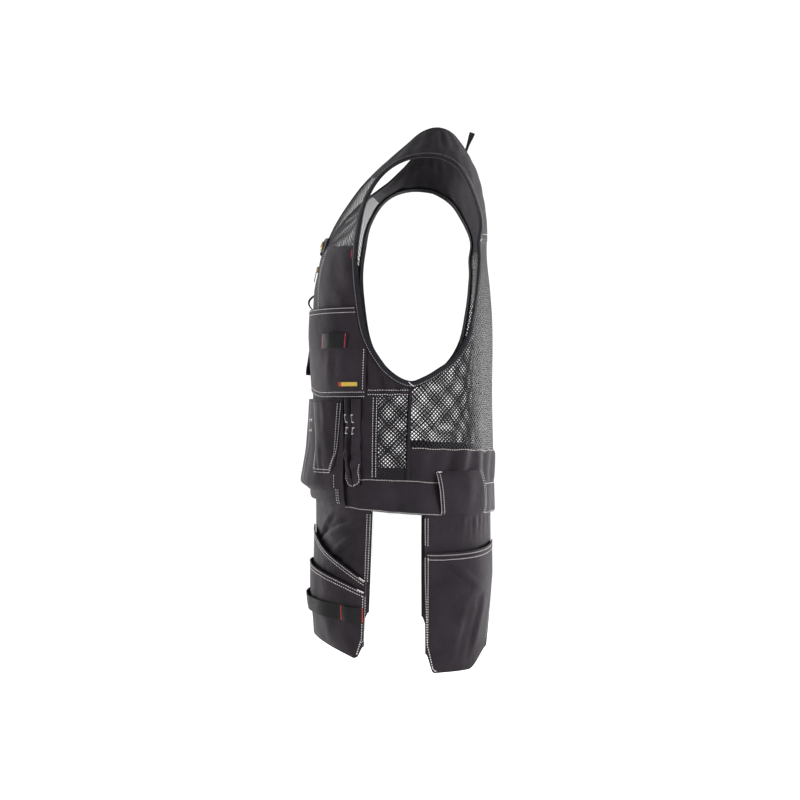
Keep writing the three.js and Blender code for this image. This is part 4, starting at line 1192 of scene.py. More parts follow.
@dataclass
class Nets:
    """Knitted net with real holes, in rows that are set off by half a step."""

    shop: Workshop
    panels: Panels
    pitch: float = 6.2
    rise: float = 6.4
    strand: float = 1.55
    wall: float = 0.9
    stretch: float = 1.5  # how far the knit is pulled out of its even rows
    tuck: float = 0.006  # share of drop that a net reaches under what it is sewn to

    def find_angle(self, x: Array, drop: Array) -> Array:
        """Angle of places on the body as if it were unrolled.

        Args:
            x: Length from the centre of the back in millimetres.
            drop: Share of the body's length.

        Returns:
            The angle at each place.
        """
        drops, angles, arcs = np.linspace(0.1, 0.95, 70), np.linspace(-10, 190, 401), []
        for level in drops:
            run = lengths(self.shop.body.oval(angles, np.full_like(angles, level)))
            arcs.append(run - np.interp(180.0, angles, run))
        drop = np.clip(drop, drops[0], drops[-1])
        row = np.clip(np.searchsorted(drops, drop) - 1, 0, len(drops) - 2)
        found = np.zeros_like(x)
        for k in np.unique(row):
            here = row == k
            share = (drop[here] - drops[k]) / (drops[k + 1] - drops[k])
            found[here] = lerp(*(np.interp(x[here], arcs[n], angles) for n in (k, k + 1)), share)
        return found

    def lay(
        self,
        name: str,
        inside: Callable[[Array, Array], Array],
        across: tuple[float, float],
        down: tuple[float, float],
        size: tuple[float, float],
        cut: Cut = Cut.PAIR,
    ) -> None:
        """Makes a net with holes and hands it over.

        Args:
            name: Name of the frame's node.
            inside: Which places on the body the net covers, by angle and drop.
            across: First and last length from the centre of the back, in millimetres.
            down: First and last level, as shares.
            size: Width and length of its cut in millimetres.
            cut: Which halves to make it for.
        """
        body, half = self.shop.body, self.pitch / 2
        number = int((across[1] - across[0]) / self.pitch + (down[1] - down[0]) * body.length / self.rise) + 2
        made = bmesh.new()
        bmesh.ops.create_grid(made, x_segments=number, y_segments=number, size=number / 2)
        rise = self.rise / 2
        slant = Matrix(((half, half, 0, 0), (-rise, rise, 0, 0), (0, 0, 1, 0), (0, 0, 0, 1)))
        # The centre plane halves a row of holes.
        centre = round((across[0] + across[1]) / 2 / half) * half
        middle = Matrix.Translation((centre, -(down[0] + down[1]) / 2 * body.length, 0))
        bmesh.ops.transform(made, matrix=middle @ slant, verts=made.verts[:])
        x, y, _ = np.array([face.calc_center_median() for face in made.faces]).T
        drop = -y / body.length
        keep = (drop > down[0]) & (drop < down[1]) & (x > across[0]) & (x < across[1])
        keep &= inside(self.find_angle(x, drop), drop)
        gone = [face for face, kept in zip(made.faces, keep) if not kept]
        bmesh.ops.delete(made, geom=gone, context="FACES")
        cells = made.faces[:]
        strand = {"thickness": self.strand / 2, "depth": 0.0, "use_even_offset": True}
        bmesh.ops.inset_individual(made, faces=cells, **strand)
        bmesh.ops.delete(made, geom=cells, context="FACES_ONLY")
        flat = np.array([vert.co for vert in made.verts])[:, :2]
        calm = np.clip(-flat[:, :1] / 20, 0, 1)  # the centre plane stays a line of symmetry
        pull = np.stack([ripple(flat[:, 0], flat[:, 1], 55, seed) for seed in (41, 42)], 1)
        x, y = (flat + self.stretch * pull * calm).T
        drop = -y / body.length
        lay_out(made, body.point(self.find_angle(x, drop), drop), flat)
        if cut is Cut.JOINED:
            geom = made.verts[:] + made.edges[:] + made.faces[:]
            bmesh.ops.bisect_plane(made, geom=geom, plane_co=(0, 0, 0), plane_no=(1, 0, 0), clear_inner=True)
            add_other_half(made)
        self.shop.hand_over(f"{name}_knit", walled(mesh_of(made), self.wall), NET, name, size, cut)

    def build(self) -> None:
        """Makes the nets of the front, the sides and the back."""
        body, panels = self.shop.body, self.panels
        rim = np.stack(body.armhole(np.linspace(0, 360, 721), 4.5), 1)
        neck = body.neck(np.linspace(0, 60, 200), 3.5)

        def clear(angle: Array, drop: Array) -> Array:
            """True outside the armhole, a little under its binding.

            Args:
                angle: Angle round the body.
                drop: Share of its length.

            Returns:
                True or false for each place.
            """
            hit = np.zeros(angle.shape, bool)
            for (x0, y0), (x1, y1) in zip(rim[:-1], rim[1:]):
                if y0 != y1:
                    hit ^= ((y0 > drop) != (y1 > drop)) & (angle < (x1 - x0) * (drop - y0) / (y1 - y0) + x0)
            return ~hit

        def in_back(angle: Array, drop: Array) -> Array:
            """True on the net of the back, tucked under the yoke and the waist.

            Args:
                angle: Angle round the body.
                drop: Share of its length.

            Returns:
                True or false for each place.
            """
            share = (angle - 92) / 88
            top = lerp(0.287, panels.yoke_centre, share) - self.tuck
            low = lerp(panels.waist_side, panels.waist_centre, share) + self.tuck
            return clear(angle, drop) & (angle > 91.6) & (drop > top) & (drop < low)

        def in_side(angle: Array, drop: Array) -> Array:
            """True on the net beside the lower front."""
            level = (drop > panels.pocket_seam - self.tuck) & (drop < body.hem_top(angle) + self.tuck)
            return (angle > 70) & (angle < 92.4) & level

        def in_front(angle: Array, drop: Array) -> Array:
            """True on the net over the front of the shoulder."""
            level = (angle > np.interp(drop, neck[1][::-1], neck[0][::-1])) & (angle < 75)
            return clear(angle, drop) & level & (drop < panels.chest_seam(angle) + self.tuck)

        self.lay("back_net", in_back, (-330, 0.5), (0.27, 0.86), (600, 350), Cut.JOINED)
        dense = replace(self, strand=1.9, stretch=1.0)
        dense.lay("side_net", in_side, (-420, -220), (0.68, 0.93), (70, 140))
        light = replace(self, strand=1.3, wall=0.5, stretch=0.8)
        light.lay("front_net", in_front, (-700, -300), (0.12, 0.33), (110, 160))


@dataclass
class Bindings:
    """Tape folded round the edges of the armholes and the neck, and over the side seams."""

    shop: Workshop
    outer: float = 1.9
    inner: float = -1.2
    wall: float = 0.8
    side_half_width: float = 0.85  # in degrees

    def folded(self, edge: Place, width: float) -> Shape:
        """Shape of tape folded over an edge.

        Args:
            edge: Place by the share along the edge and the distance beside it.
            width: Width of the folded tape in millimetres.

        Returns:
            The shape, with s along the edge and t from the outer leaf over the fold to the inner one.
        """

        def shape(s: Array, t: Array) -> Array:
            """Points along and across the tape.

            Args:
                s: Shares across.
                t: Shares down.

            Returns:
                Points in millimetres.
            """
            height = lerp(self.outer, self.inner, smooth((t - 0.5) / 0.16 + 0.5))
            place = edge(s, width * (0.06 + 0.94 * np.abs(2 * t - 1) ** 1.15))
            return self.shop.body.point(*place, height + 0.12 * ripple(s * 760, t * 20, 14, 5))

        return shape

    def seam_tape(self, s: Array, t: Array) -> Spot:
        """Place on the tape over the side seam."""
        body, half = self.shop.body, self.side_half_width
        return 92 + lerp(-half, half, s), lerp(body.armhole(180.0, body.binding_width)[1], 0.905, t)

    def build(self) -> None:
        """Makes the tapes and their rows of thread."""
        shop, body = self.shop, self.shop.body
        arm = self.folded(lambda s, aside: body.armhole(360.0 * (1 - s), aside), body.binding_width)
        shop.cloth("armhole_tape", "armhole_binding", arm, (230, 10), BOUND_TAPE, self.wall)
        neck = self.folded(lambda s, aside: body.neck(100.0 * s, aside), body.neck_binding_width)
        shop.cloth("neck_tape", "neck_binding", neck, (130, 10), BOUND_TAPE, self.wall, Cut.JOINED)
        side = shop.on_body(self.seam_tape, PANEL + SEWN)
        shop.cloth("side_seam_tape", "side_tape", side, (3, 44), BOUND_TAPE, 1.0)
        seams = Seams(shop, "binding_stitches", DARK_THREAD)
        seams.row(arm, ((0.002, 0.09), (0.5, 0.09), (0.998, 0.09)), over=self.wall)
        seams.row(neck, ((0.01, 0.1), (0.5, 0.1), (0.995, 0.1)), over=self.wall)
        seams.finish_off()
        bars = Seams(shop, "armhole_bar")
        bars.bar(arm, (0.496, 0.05), (0.506, 0.4), 1.4, self.wall)
        bars.bar(arm, (0.165, 0.05), (0.168, 0.35), 1.4, self.wall)
        bars.finish_off()


@dataclass
class ChestPockets:
    """Pockets of the chest, with the webbing and tag of the left one and the flap of the right one."""

    shop: Workshop
    top: float = 0.475
    bottom: float = 0.701
    start: float = 3.6
    end: float = 66.0
    rise: float = 0.018
    fullness: float = 10.0
    webbing_fullness: float = 7.0
    flap_fullness: float = 8.0
    folds: tuple[Pull, ...] = (Pull((104, 62), (96, 128), 7.0, 2.2), Pull((132, 70), (138, 130), 6.0, -1.8))

    def outer(self, drop: Array) -> Array:
        """Angle of the outer edge, which follows the armhole and then runs straight down."""
        return np.minimum(self.end, self.shop.body.armhole_front_angle(drop) - 0.4)

    def place(self, s: Array, t: Array) -> Spot:
        """Place on the pocket."""
        level = lerp(self.top, self.bottom, t)
        return lerp(self.start, self.outer(level), s), level - self.rise * t * (1 - smooth(s / 0.5))

    def lift(self, s: Array, t: Array) -> Array:
        """Height of the pocket's inner face.

        Args:
            s: Share across.
            t: Share down.

        Returns:
            The height in millimetres.
        """
        full = hump(s, ROUND) * (1 - np.clip(t, 0, 1) ** 2) * lerp(0.75, 1.0, hump(t))
        soft = 1.3 * ripple(s * 160, t * 70, 34, 21) + creased(self.folds, s * 160, t * 135)
        crease = hump(s) * hump(t) * soft
        return PANEL + SEWN + 0.7 * smooth(np.minimum(s, 1 - s) / 0.03) + self.fullness * full + crease

    def on_pocket(self, s0: float, t0: float, width: float, height: float, extra: Shape) -> Shape:
        """Shape of something small on the pocket.

        Args:
            s0: Middle across, as a share.
            t0: Middle down, as a share.
            width: Width in millimetres.
            height: Height in millimetres.
            extra: Its own lift over the pocket.

        Returns:
            The shape.
        """
        body = self.shop.body
        angle, drop = self.place(np.array(s0), np.array(t0))
        degree = float(np.linalg.norm(body.directions(angle, drop)[0]))

        def place(s: Array, t: Array) -> Spot:
            """Place by the shares across and down."""
            return angle + (s - 0.5) * width / degree, drop + (t - 0.5) * height / body.length

        def lift(at: At) -> Array:
            """Height over the body."""
            a = (at.angle - self.start) / (self.outer(at.drop) - self.start)
            return self.lift(a, (at.drop - self.top) / (self.bottom - self.top)) + CLOTH + extra(at.s, at.t)

        return self.shop.on_body(place, lift)

    def webbing_lift(self, s: Array, t: Array) -> Array:
        """Lift of webbing that stands off between its bars."""
        full = self.webbing_fullness * hump((s - 0.06) / 0.84, LOOP)
        return 0.25 + full + 0.3 * ripple(s * 60, t * 20, 16, 4)

    def flap_lift(self, at: At) -> Array:
        """Height of the flap, which stands off towards its free edge.

        Args:
            at: The places.

        Returns:
            The height in millimetres.
        """
        a = (at.angle - self.start) / (self.end - self.start)
        b = (at.drop - self.top) / (self.bottom - self.top)
        loose = 0.5 + self.flap_fullness * smooth(at.t) + 0.5 * ripple(at.s * 100, at.t * 50, 30, 9)
        return self.lift(a, b) + CLOTH + loose

    def build(self) -> None:
        """Makes the pockets and what is on them."""
        shop = self.shop
        pocket = shop.on_body(self.place, lambda at: self.lift(at.s, at.t))
        shop.cloth("chest_pocket_twill", "chest_pocket", pocket, (64, 54))
        webbing = self.on_pocket(0.73, 0.376, 50, 22, self.webbing_lift)
        shop.cloth("chest_webbing_tape", "chest_webbing", webbing, (28, 8), WEBBING, 1.4, Cut.LEFT)
        tag = self.on_pocket(0.83, 0.857, 34, 8, lambda s, t: 0.15 + 0 * s)
        shop.cloth("plain_woven_tag", "chest_label", tag, (12, 4), TAG, 0.6, Cut.LEFT)
        flap = shop.on_body(lambda s, t: (lerp(8.0, 46.0, s), lerp(0.545, 0.64, t)), self.flap_lift)
        shop.cloth("chest_flap_twill", "chest_flap_R", flap, (24, 14), cut=Cut.RIGHT)
        seams = Seams(shop, "chest_pocket_stitches")
        seams.row(pocket, ((0.02, 0.015), (0.5, 0.015), (0.995, 0.015)), 2, -6.5)
        seams.row(pocket, ((0.02, 0.93), (0.5, 0.945), (0.995, 0.945)), 2, -6.5)
        seams.row(pocket, ((0.975, 0.47), (0.975, 0.6), (0.975, 0.92)))
        seams.row(pocket, ((0.06, 0.07), (0.06, 0.92)))
        seams.finish_off()
        seams = Seams(shop, "chest_flap_stitches_R", cut=Cut.RIGHT)
        seams.row(flap, ((0.03, 0.06), (0.03, 0.95), (0.97, 0.95), (0.97, 0.06)))
        seams.finish_off()
        bars = Seams(shop, "chest_webbing_bars_L", RED_THREAD, Cut.LEFT)
        for share in (0.05, 0.92):
            bars.bar(webbing, (share, 0.02), (share, 0.98), 2.6, 1.4)
        bars.finish_off()


@dataclass
class LowerPockets:
    """Big pockets of the lower front: under pocket, nail pocket, phone pocket and tool tubes."""

    shop: Workshop
    under: tuple[float, float, float, float] = (0.8, 0.984, 2.9, 51.6)  # top, bottom, first and last angle
    nail: tuple[float, float, float, float] = (0.705, 0.94, 2.9, 52.5)
    under_fullness: float = 7.0
    nail_fullness: float = 14.0
    mouth: float = 4.0
    phone_fullness: float = 8.0
    tube_fullness: float = 9.0
    folds: tuple[Pull, ...] = (
        Pull((6, 40), (16, 118), 3.0, 4.0),
        Pull((30, 50), (22, 124), 3.0, -3.5),
        Pull((36, 84), (12, 128), 3.0, 3.5),
    )

    def under_place(self, s: Array, t: Array) -> Spot:
        """Place on the under pocket.

        Args:
            s: Shares across.
            t: Shares down.

        Returns:
            Angle and drop.
        """
        angle = lerp(self.under[2], self.under[3] + 2.4 * t, s)
        low = np.minimum(self.under[1], self.shop.body.hem_bottom(angle) - 0.004) - 0.006 * hump(s)
        return angle, lerp(self.under[0], low, t)

    def under_lift(self, at: At) -> Array:
        """Height of the under pocket's inner face.

        Args:
            at: The places.

        Returns:
            The height in millimetres.
        """
        top, bottom, start, end = self.under
        s = np.clip((at.angle - start) / (end - start), 0, 1)
        t = np.clip((at.drop - top) / (bottom - top), 0, 1)
        full = lerp(0.55, 1.0, hump(s, ROUND)) * smooth(t / 0.7) * (1 - smooth((t - 0.82) / 0.18))
        return ON_PANEL + self.under_fullness * full

    def nail_place(self, s: Array, t: Array) -> Spot:
        """Place on the nail pocket."""
        top, bottom, start, end = self.nail
        return lerp(start, end + 1.5 * t, s), lerp(top, bottom - 0.01 * s, t)

    def nail_lift(self, at: At) -> Array:
        """Height of the nail pocket's inner face: loose and full at its bottom.

        Args:
            at: The places.

        Returns:
            The height in millimetres.
        """
        top, bottom, start, end = self.nail
        s, t = (at.angle - start) / (end - start), np.clip((at.drop - top) / (bottom - top), 0, 1)
        hang = t * (1 - smooth((t - 0.9) / 0.1)) * (1 - smooth((s - 0.35) / 0.65))
        crease = 1.5 * hump(s) * hump(t, 0.7) * ripple(at.angle * DEGREE, at.drop * 380, 28, 17)
        loose = self.nail_fullness * hang + self.mouth * hump(s) * (1 - t) ** 2
        return self.under_lift(at) + 2.2 + loose + crease

    def phone_place(self, s: Array, t: Array) -> Spot:
        """Place on the phone pocket, whose outer lower corner is cut off."""
        cut = 0.016 * smooth((s - 0.78) / 0.22)
        return lerp(30.0 + 4.0 * t, 52.0 - 4.0 * t, s), lerp(0.712, 0.892 - cut, t)

    def phone_lift(self, at: At) -> Array:
        """Height of the phone pocket's inner face."""
        full = self.phone_fullness * hump(at.s, LOOP) * (1 - np.clip(at.t, 0, 1) ** 4)
        return self.nail_lift(at) + 1.9 + full + 0.9 * hump(at.s) * ripple(at.s * 90, at.t * 70, 26, 8)

    def tube_place(self, s: Array, t: Array) -> Spot:
        """Place on the two tool tubes."""
        return lerp(54.2 + 1.2 * t, 62.8 + 0.4 * t, s), lerp(0.706, 0.926 - 0.012 * np.abs(s - 0.5), t)

    def tube_lift(self, at: At) -> Array:
        """Height of the tubes, pinched by their bars and crumpled below.

        Args:
            at: The places.

        Returns:
            The height in millimetres.
        """
        s, t = at.s, at.t
        rounds = np.abs(np.sin(2 * np.pi * np.clip(s, 0, 1))) ** LOOP * (1 - 0.6 * bell((t - 0.32) / 0.09))
        crumple = 2.6 * ripple(s * 40, t * 90, 13, 31) + creased(self.folds, s * 40, t * 131)
        full = self.tube_fullness * rounds * (1 - smooth((t - 0.88) / 0.12) * 0.8)
        return ON_PANEL + full + (smooth((t - 0.35) / 0.3) * crumple).clip(-0.6)

    def build(self) -> None:
        """Makes the pockets and their seams."""
        under, nail, phone, tubes = (
            self.shop.cloth(name, node, self.shop.on_body(place, lift), cells)
            for name, node, place, lift, cells in (
                ("under_pocket_twill", "under_pocket", self.under_place, self.under_lift, (44, 40)),
                ("nail_pocket_twill", "nail_pocket", self.nail_place, self.nail_lift, (64, 60)),
                ("phone_pocket_twill", "phone_pocket", self.phone_place, self.phone_lift, (40, 46)),
                ("tool_tube_twill", "tool_tubes", self.tube_place, self.tube_lift, (52, 84)),
            )
        )
        seams = Seams(self.shop, "lower_pocket_stitches")
        seams.row(phone, ((0.93, 0.02), (0.93, 0.8), (0.8, 0.95), (0.06, 0.95)), 2, 4.5)
        seams.row(phone, ((0.07, 0.02), (0.07, 0.95)), 2, -3.5)
        seams.row(nail, ((0.88, 0.84), (0.88, 0.99)))
        seams.row(nail, ((0.37, 0.03), (0.37, 0.92)))
        seams.row(nail, ((0.04, 0.03), (0.04, 0.97)))
        seams.row(under, ((0.9, 0.72), (0.9, 0.98)), 2, 4.0)
        seams.row(under, ((0.04, 0.72), (0.04, 0.98)))
        seams.row(tubes, ((0.04, 0.02), (0.04, 0.24)), 2, -3.0)
        seams.row(tubes, ((0.5, 0.02), (0.5, 0.24)), 2, -3.0, 1.5)
        seams.row(tubes, ((0.04, 0.7), (0.04, 0.97), (0.45, 0.985), (0.96, 0.97), (0.96, 0.75)))
        seams.finish_off()
        bars = Seams(self.shop, "tool_tube_bars")
        for middle in (0.12, 0.6):
            for start, end in ((0.18, 0.26), (0.33, 0.4)):
                bars.bar(tubes, (middle, start), (middle, end), 2.0)
                for level in (start, end):
                    bars.bar(tubes, (middle - 0.14, level), (middle + 0.14, level), 1.6)
        for start, end in ((0.21, 0.26), (0.33, 0.37)):
            for side in (0.37, 0.46):
                bars.bar(nail, (side, start), (side, end), 1.6)
            bars.bar(nail, (0.37, (start + end) / 2), (0.46, (start + end) / 2), 1.4)
        bars.finish_off()


@dataclass
class Holsters:
    """What the holsters share: they hang from the hem and are drawn in towards the bottom."""

    shop: Workshop
    length: float
    start: float
    end: float
    taper: float
    taper_from: float
    fullness: float
    pulls: tuple[Pull, ...]

    @property
    def bottom(self) -> float:
        """Level of the lowest point."""
        return 1 + self.length / self.shop.body.length

    def low(self, s: Array) -> Array:
        """Level of the bottom edge at a share across."""
        raise NotImplementedError

    def hem(self, s: Array) -> Array:
        """Level of the vest's hem at a share across."""
        return self.shop.body.hem_bottom(lerp(self.start, self.end, s))

    def place(self, top: Callable[[Array], Array]) -> Place:
        """Place below a line.

        Args:
            top: Levels of the line by the share across.

        Returns:
            The place by the shares across and down.
        """

        def made(s: Array, t: Array) -> Spot:
            """Place for shares across and down.

            Args:
                s: Shares across.
                t: Shares down.

            Returns:
                Angle and drop.
            """
            drop = lerp(top(s), self.low(s), t)
            narrow = np.clip((drop - self.taper_from) / (self.bottom - self.taper_from), 0, 1)
            return lerp(self.start, self.end - self.taper * narrow, s), drop

        return made


@dataclass
class FrontHolsters(Holsters):
    """Holsters of the front hem, with two slanted pockets and webbing."""

    length: float = 213.0
    start: float = 14.8
    end: float = 68.4
    taper: float = 3.4
    taper_from: float = 1.0
    fullness: float = 10.0
    pulls: tuple[Pull, ...] = (
        Pull((88, 4), (48, 34), 4.5, 2.6),
        Pull((146, 8), (24, 50), 5.0, -4.0),
        Pull((150, 30), (84, 70), 5.0, 4.2),
        Pull((128, 58), (98, 84), 5.0, -2.6),
        Pull((60, 26), (20, 58), 4.0, 2.4),
    )
    corner: float = 22.0
    lower_fullness: float = 8.0
    webbing_width: float = 22.0
    webbing_fullness: float = 6.5
    bar: float = 0.79

    def low(self, s: Array) -> Array:
        """Level of the bottom edge at a share across."""
        cut = self.corner / self.shop.body.length * (1 - smooth((1 - s) / 0.1))
        return self.bottom - 0.04 * (1 - s**2) - cut

    def upper_mouth(self, s: Array) -> Array:
        """Level of the upper pocket's mouth."""
        return 1.033 + 0.126 * np.clip(s, 0, 1) ** 1.25

    def lower_mouth(self, s: Array) -> Array:
        """Level of the lower pocket's mouth."""
        return 1.12 + 0.066 * s**2

    def drape(self, at: At) -> Array:
        """Height of the slanting pulls above the pocket.

        Args:
            at: The places.

        Returns:
            The height in millimetres.
        """
        pulls = creased(self.pulls, at.s * 160, (at.drop - 0.98) * self.shop.body.length)
        soft = pulls + 0.5 * ripple(at.s * 160, at.t * 300, 30, 2)
        return soft * hump(at.s, 0.5) * smooth(at.t / 0.08) * (at.t < 0.8)

    def upper_lift(self, at: At) -> Array:
        """Height of the upper pocket's inner face.

        Args:
            at: The places.

        Returns:
            The height in millimetres.
        """
        top = self.upper_mouth(at.s)
        share = np.clip((at.drop - top) / (self.low(at.s) - top), 0, 1)
        full = self.fullness * hump(at.s, ROUND) * (1 - share**3) * lerp(0.8, 1.0, hump(share))
        crease = 0.9 * hump(at.s) * hump(share, 0.6) * ripple(at.s * 150, at.drop * 400, 30, 14)
        return ON_PANEL + full + crease

    def lower_lift(self, at: At) -> Array:
        """Height of the lower pocket's inner face.

        Args:
            at: The places.

        Returns:
            The height in millimetres.
        """
        top = self.lower_mouth(at.s)
        share = np.clip((at.drop - top) / (self.low(at.s) - top), 0, 1)
        full = self.lower_fullness * hump(at.s, ROUND) * (1 - share**3)
        crease = 1.1 * hump(at.s) * hump(share, 0.6) * ripple(at.s * 150, at.drop * 200, 26, 12)
        return self.upper_lift(at) + 2.0 + full + crease

    def webbing_place(self, s: Array, t: Array) -> Spot:
        """Place on the webbing over the lower pocket."""
        angle, drop = self.place(lambda x: 1.195 + 0.028 * x)(s, np.zeros_like(t))
        return angle, drop + t * self.webbing_width / self.shop.body.length

    def webbing_lift(self, at: At) -> Array:
        """Height of two loops of webbing between three bars."""
        share = np.where(at.s < self.bar, at.s / self.bar, (at.s - self.bar) / (1 - self.bar))
        return self.lower_lift(at) + 1.9 + self.webbing_fullness * hump((share - 0.06) / 0.88, LOOP)

    def build(self) -> None:
        """Makes the holsters, their pockets, webbing and seams."""
        shop = self.shop
        back = shop.on_body(self.place(self.hem), self.drape)
        shop.cloth("front_holster_twill", "front_holster", back, (64, 84))
        upper = shop.on_body(self.place(self.upper_mouth), self.upper_lift)
        shop.cloth("upper_pocket_twill", "holster_upper_pocket", upper, (48, 48))
        lower = shop.on_body(self.place(self.lower_mouth), self.lower_lift)
        shop.cloth("lower_pocket_twill", "holster_lower_pocket", lower, (56, 46))
        webbing = shop.on_body(self.webbing_place, self.webbing_lift)
        shop.cloth("holster_webbing_tape", "holster_webbing", webbing, (60, 8), WEBBING, 1.4)
        seams = Seams(shop, "front_holster_stitches")
        seams.row(back, ((0.985, 0.02), (0.985, 0.52)), 2, 5.0)
        seams.row(back, ((0.03, 0.02), (0.03, 0.3)))
        seams.row(upper, ((0.02, 0.02), (0.3, 0.02), (0.6, 0.02), (0.985, 0.02)), 2, -5.0)
        seams.row(lower, ((0.02, 0.02), (0.5, 0.02), (0.985, 0.02)), 2, -5.0)
        seams.row(lower, ((0.985, 0.06), (0.985, 0.86), (0.93, 0.975)), 2, 5.0)
        seams.row(lower, ((0.05, 0.06), (0.05, 0.97)))
        seams.finish_off()
        bars = Seams(shop, "holster_webbing_bars", ORANGE_THREAD)
        for share in (0.015, self.bar, 0.985):
            bars.bar(webbing, (share, 0.02), (share, 0.98), over=1.4)
        bars.finish_off()
        ends = Seams(shop, "front_holster_bars")
        for pocket in (upper, lower):
            ends.bar(pocket, (0.93, 0.0), (0.99, 0.0), 2.0)
        ends.bar(lower, (0.06, 0.97), (0.1, 0.985), 2.0)
        ends.finish_off()


@dataclass
class BackHolsters(Holsters):
    """Holsters of the back hem, each with one wide pocket."""

    length: float = 228.0
    start: float = 102.4
    end: float = 155.0
    taper: float = 12.0
    taper_from: float = 1.15
    fullness: float = 12.0
    pulls: tuple[Pull, ...] = (
        Pull((18, 6), (74, 54), 4.5, -6.0),
        Pull((60, 70), (52, 168), 8.0, 2.2),
        Pull((92, 60), (86, 160), 7.0, -2.2),
    )
    corner: float = 28.6

    def low(self, s: Array) -> Array:
        """Level of the bottom edge at a share across."""
        cut = self.corner / self.shop.body.length
        return self.bottom - cut * (1 - smooth(s / 0.12)) - cut * smooth((s - 0.66) / 0.34)

    def gathers(self, at: At) -> Array:
        """Height of small upright folds where the cloth hangs from the hem."""
        fade = smooth(at.t / 0.03) * (1 - smooth(at.t / 0.2))
        return (1.3 * ripple(at.s * 150, at.t * 30, 13, 23)).clip(-0.8) * fade * hump(at.s, 0.5)

    def pocket_lift(self, at: At) -> Array:
        """Height of the pocket's inner face, with a slanting crease.

        Args:
            at: The places.

        Returns:
            The height in millimetres.
        """
        s, t = at.s, at.t
        full = self.fullness * hump(s, ROUND) * (1 - np.clip(t, 0, 1) ** 3) * lerp(0.75, 1.0, hump(t))
        soft = 1.0 * ripple(s * 160, t * 110, 40, 3) + creased(self.pulls, s * 150, t * 172)
        return ON_PANEL + full + soft * hump(s, 0.6) * hump(t, 0.5)

    def build(self) -> None:
        """Makes the holsters, their pockets and seams."""
        shop = self.shop
        back = shop.on_body(self.place(self.hem), self.gathers)
        shop.cloth("back_holster_twill", "back_holster", back, (72, 70))
        pocket = shop.on_body(self.place(lambda s: 1.086 - 0.018 * np.clip(s, 0, 1) ** 3), self.pocket_lift)
        shop.cloth("back_pocket_twill", "back_holster_pocket", pocket, (56, 62))
        seams = Seams(shop, "back_holster_stitches")
        seams.row(back, ((0.03, 0.02), (0.03, 0.22)), 2, -4.5)
        seams.row(back, ((0.97, 0.02), (0.97, 0.22)))
        seams.row(pocket, ((0.02, 0.02), (0.5, 0.02), (0.985, 0.02)), 2, -6.5)
        seams.row(pocket, ((0.03, 0.04), (0.03, 0.9), (0.12, 0.975)), 2, -4.5)
        seams.row(pocket, ((0.93, 0.05), (0.93, 0.9)))
        seams.finish_off()
        bars = Seams(shop, "back_holster_bars")
        bars.bar(pocket, (0.955, 0.0), (0.955, 0.05), 2.0)
        bars.bar(pocket, (0.12, 0.975), (0.15, 0.985), 2.0)
        bars.finish_off()


@dataclass
class BeltLoops:
    """Wide loops on the hips, sewn down at top and bottom."""

    shop: Workshop
    top: float = 0.884
    start: float = 108.3
    end: float = 139.6
    slant: float = 3.6
    fullness: float = 6.5

    def place(self, s: Array, t: Array) -> Spot:
        """Place on the loop."""
        angle = lerp(self.start, self.end, s) + self.slant * t
        return angle, lerp(self.top, self.shop.body.hem_bottom(angle) - 0.001, t)

    def lift(self, at: At) -> Array:
        """Height of the loop's inner face."""
        soft = 1.0 * hump(at.t) * ripple(at.s * 90, at.t * 40, 26, 6)
        return ON_PANEL + self.fullness * hump((at.t - 0.04) / 0.92, 0.5) + soft

    def build(self) -> None:
        """Makes the loops and their seams."""
        shape = self.shop.on_body(self.place, self.lift)
        loop = self.shop.cloth("belt_loop_twill", "belt_loop", shape, (40, 30))
        seams = Seams(self.shop, "belt_loop_stitches")
        seams.row(loop, ((0.05, 0.02), (0.05, 0.98)), 2, -5.0)
        seams.row(loop, ((0.95, 0.02), (0.95, 0.98)), 2, 5.0)
        seams.finish_off()
        bars = Seams(self.shop, "belt_loop_bars")
        for share in (0.02, 0.9):
            bars.bar(loop, (share, 0.02), (share + 0.08, 0.02), 2.0)
        bars.finish_off()


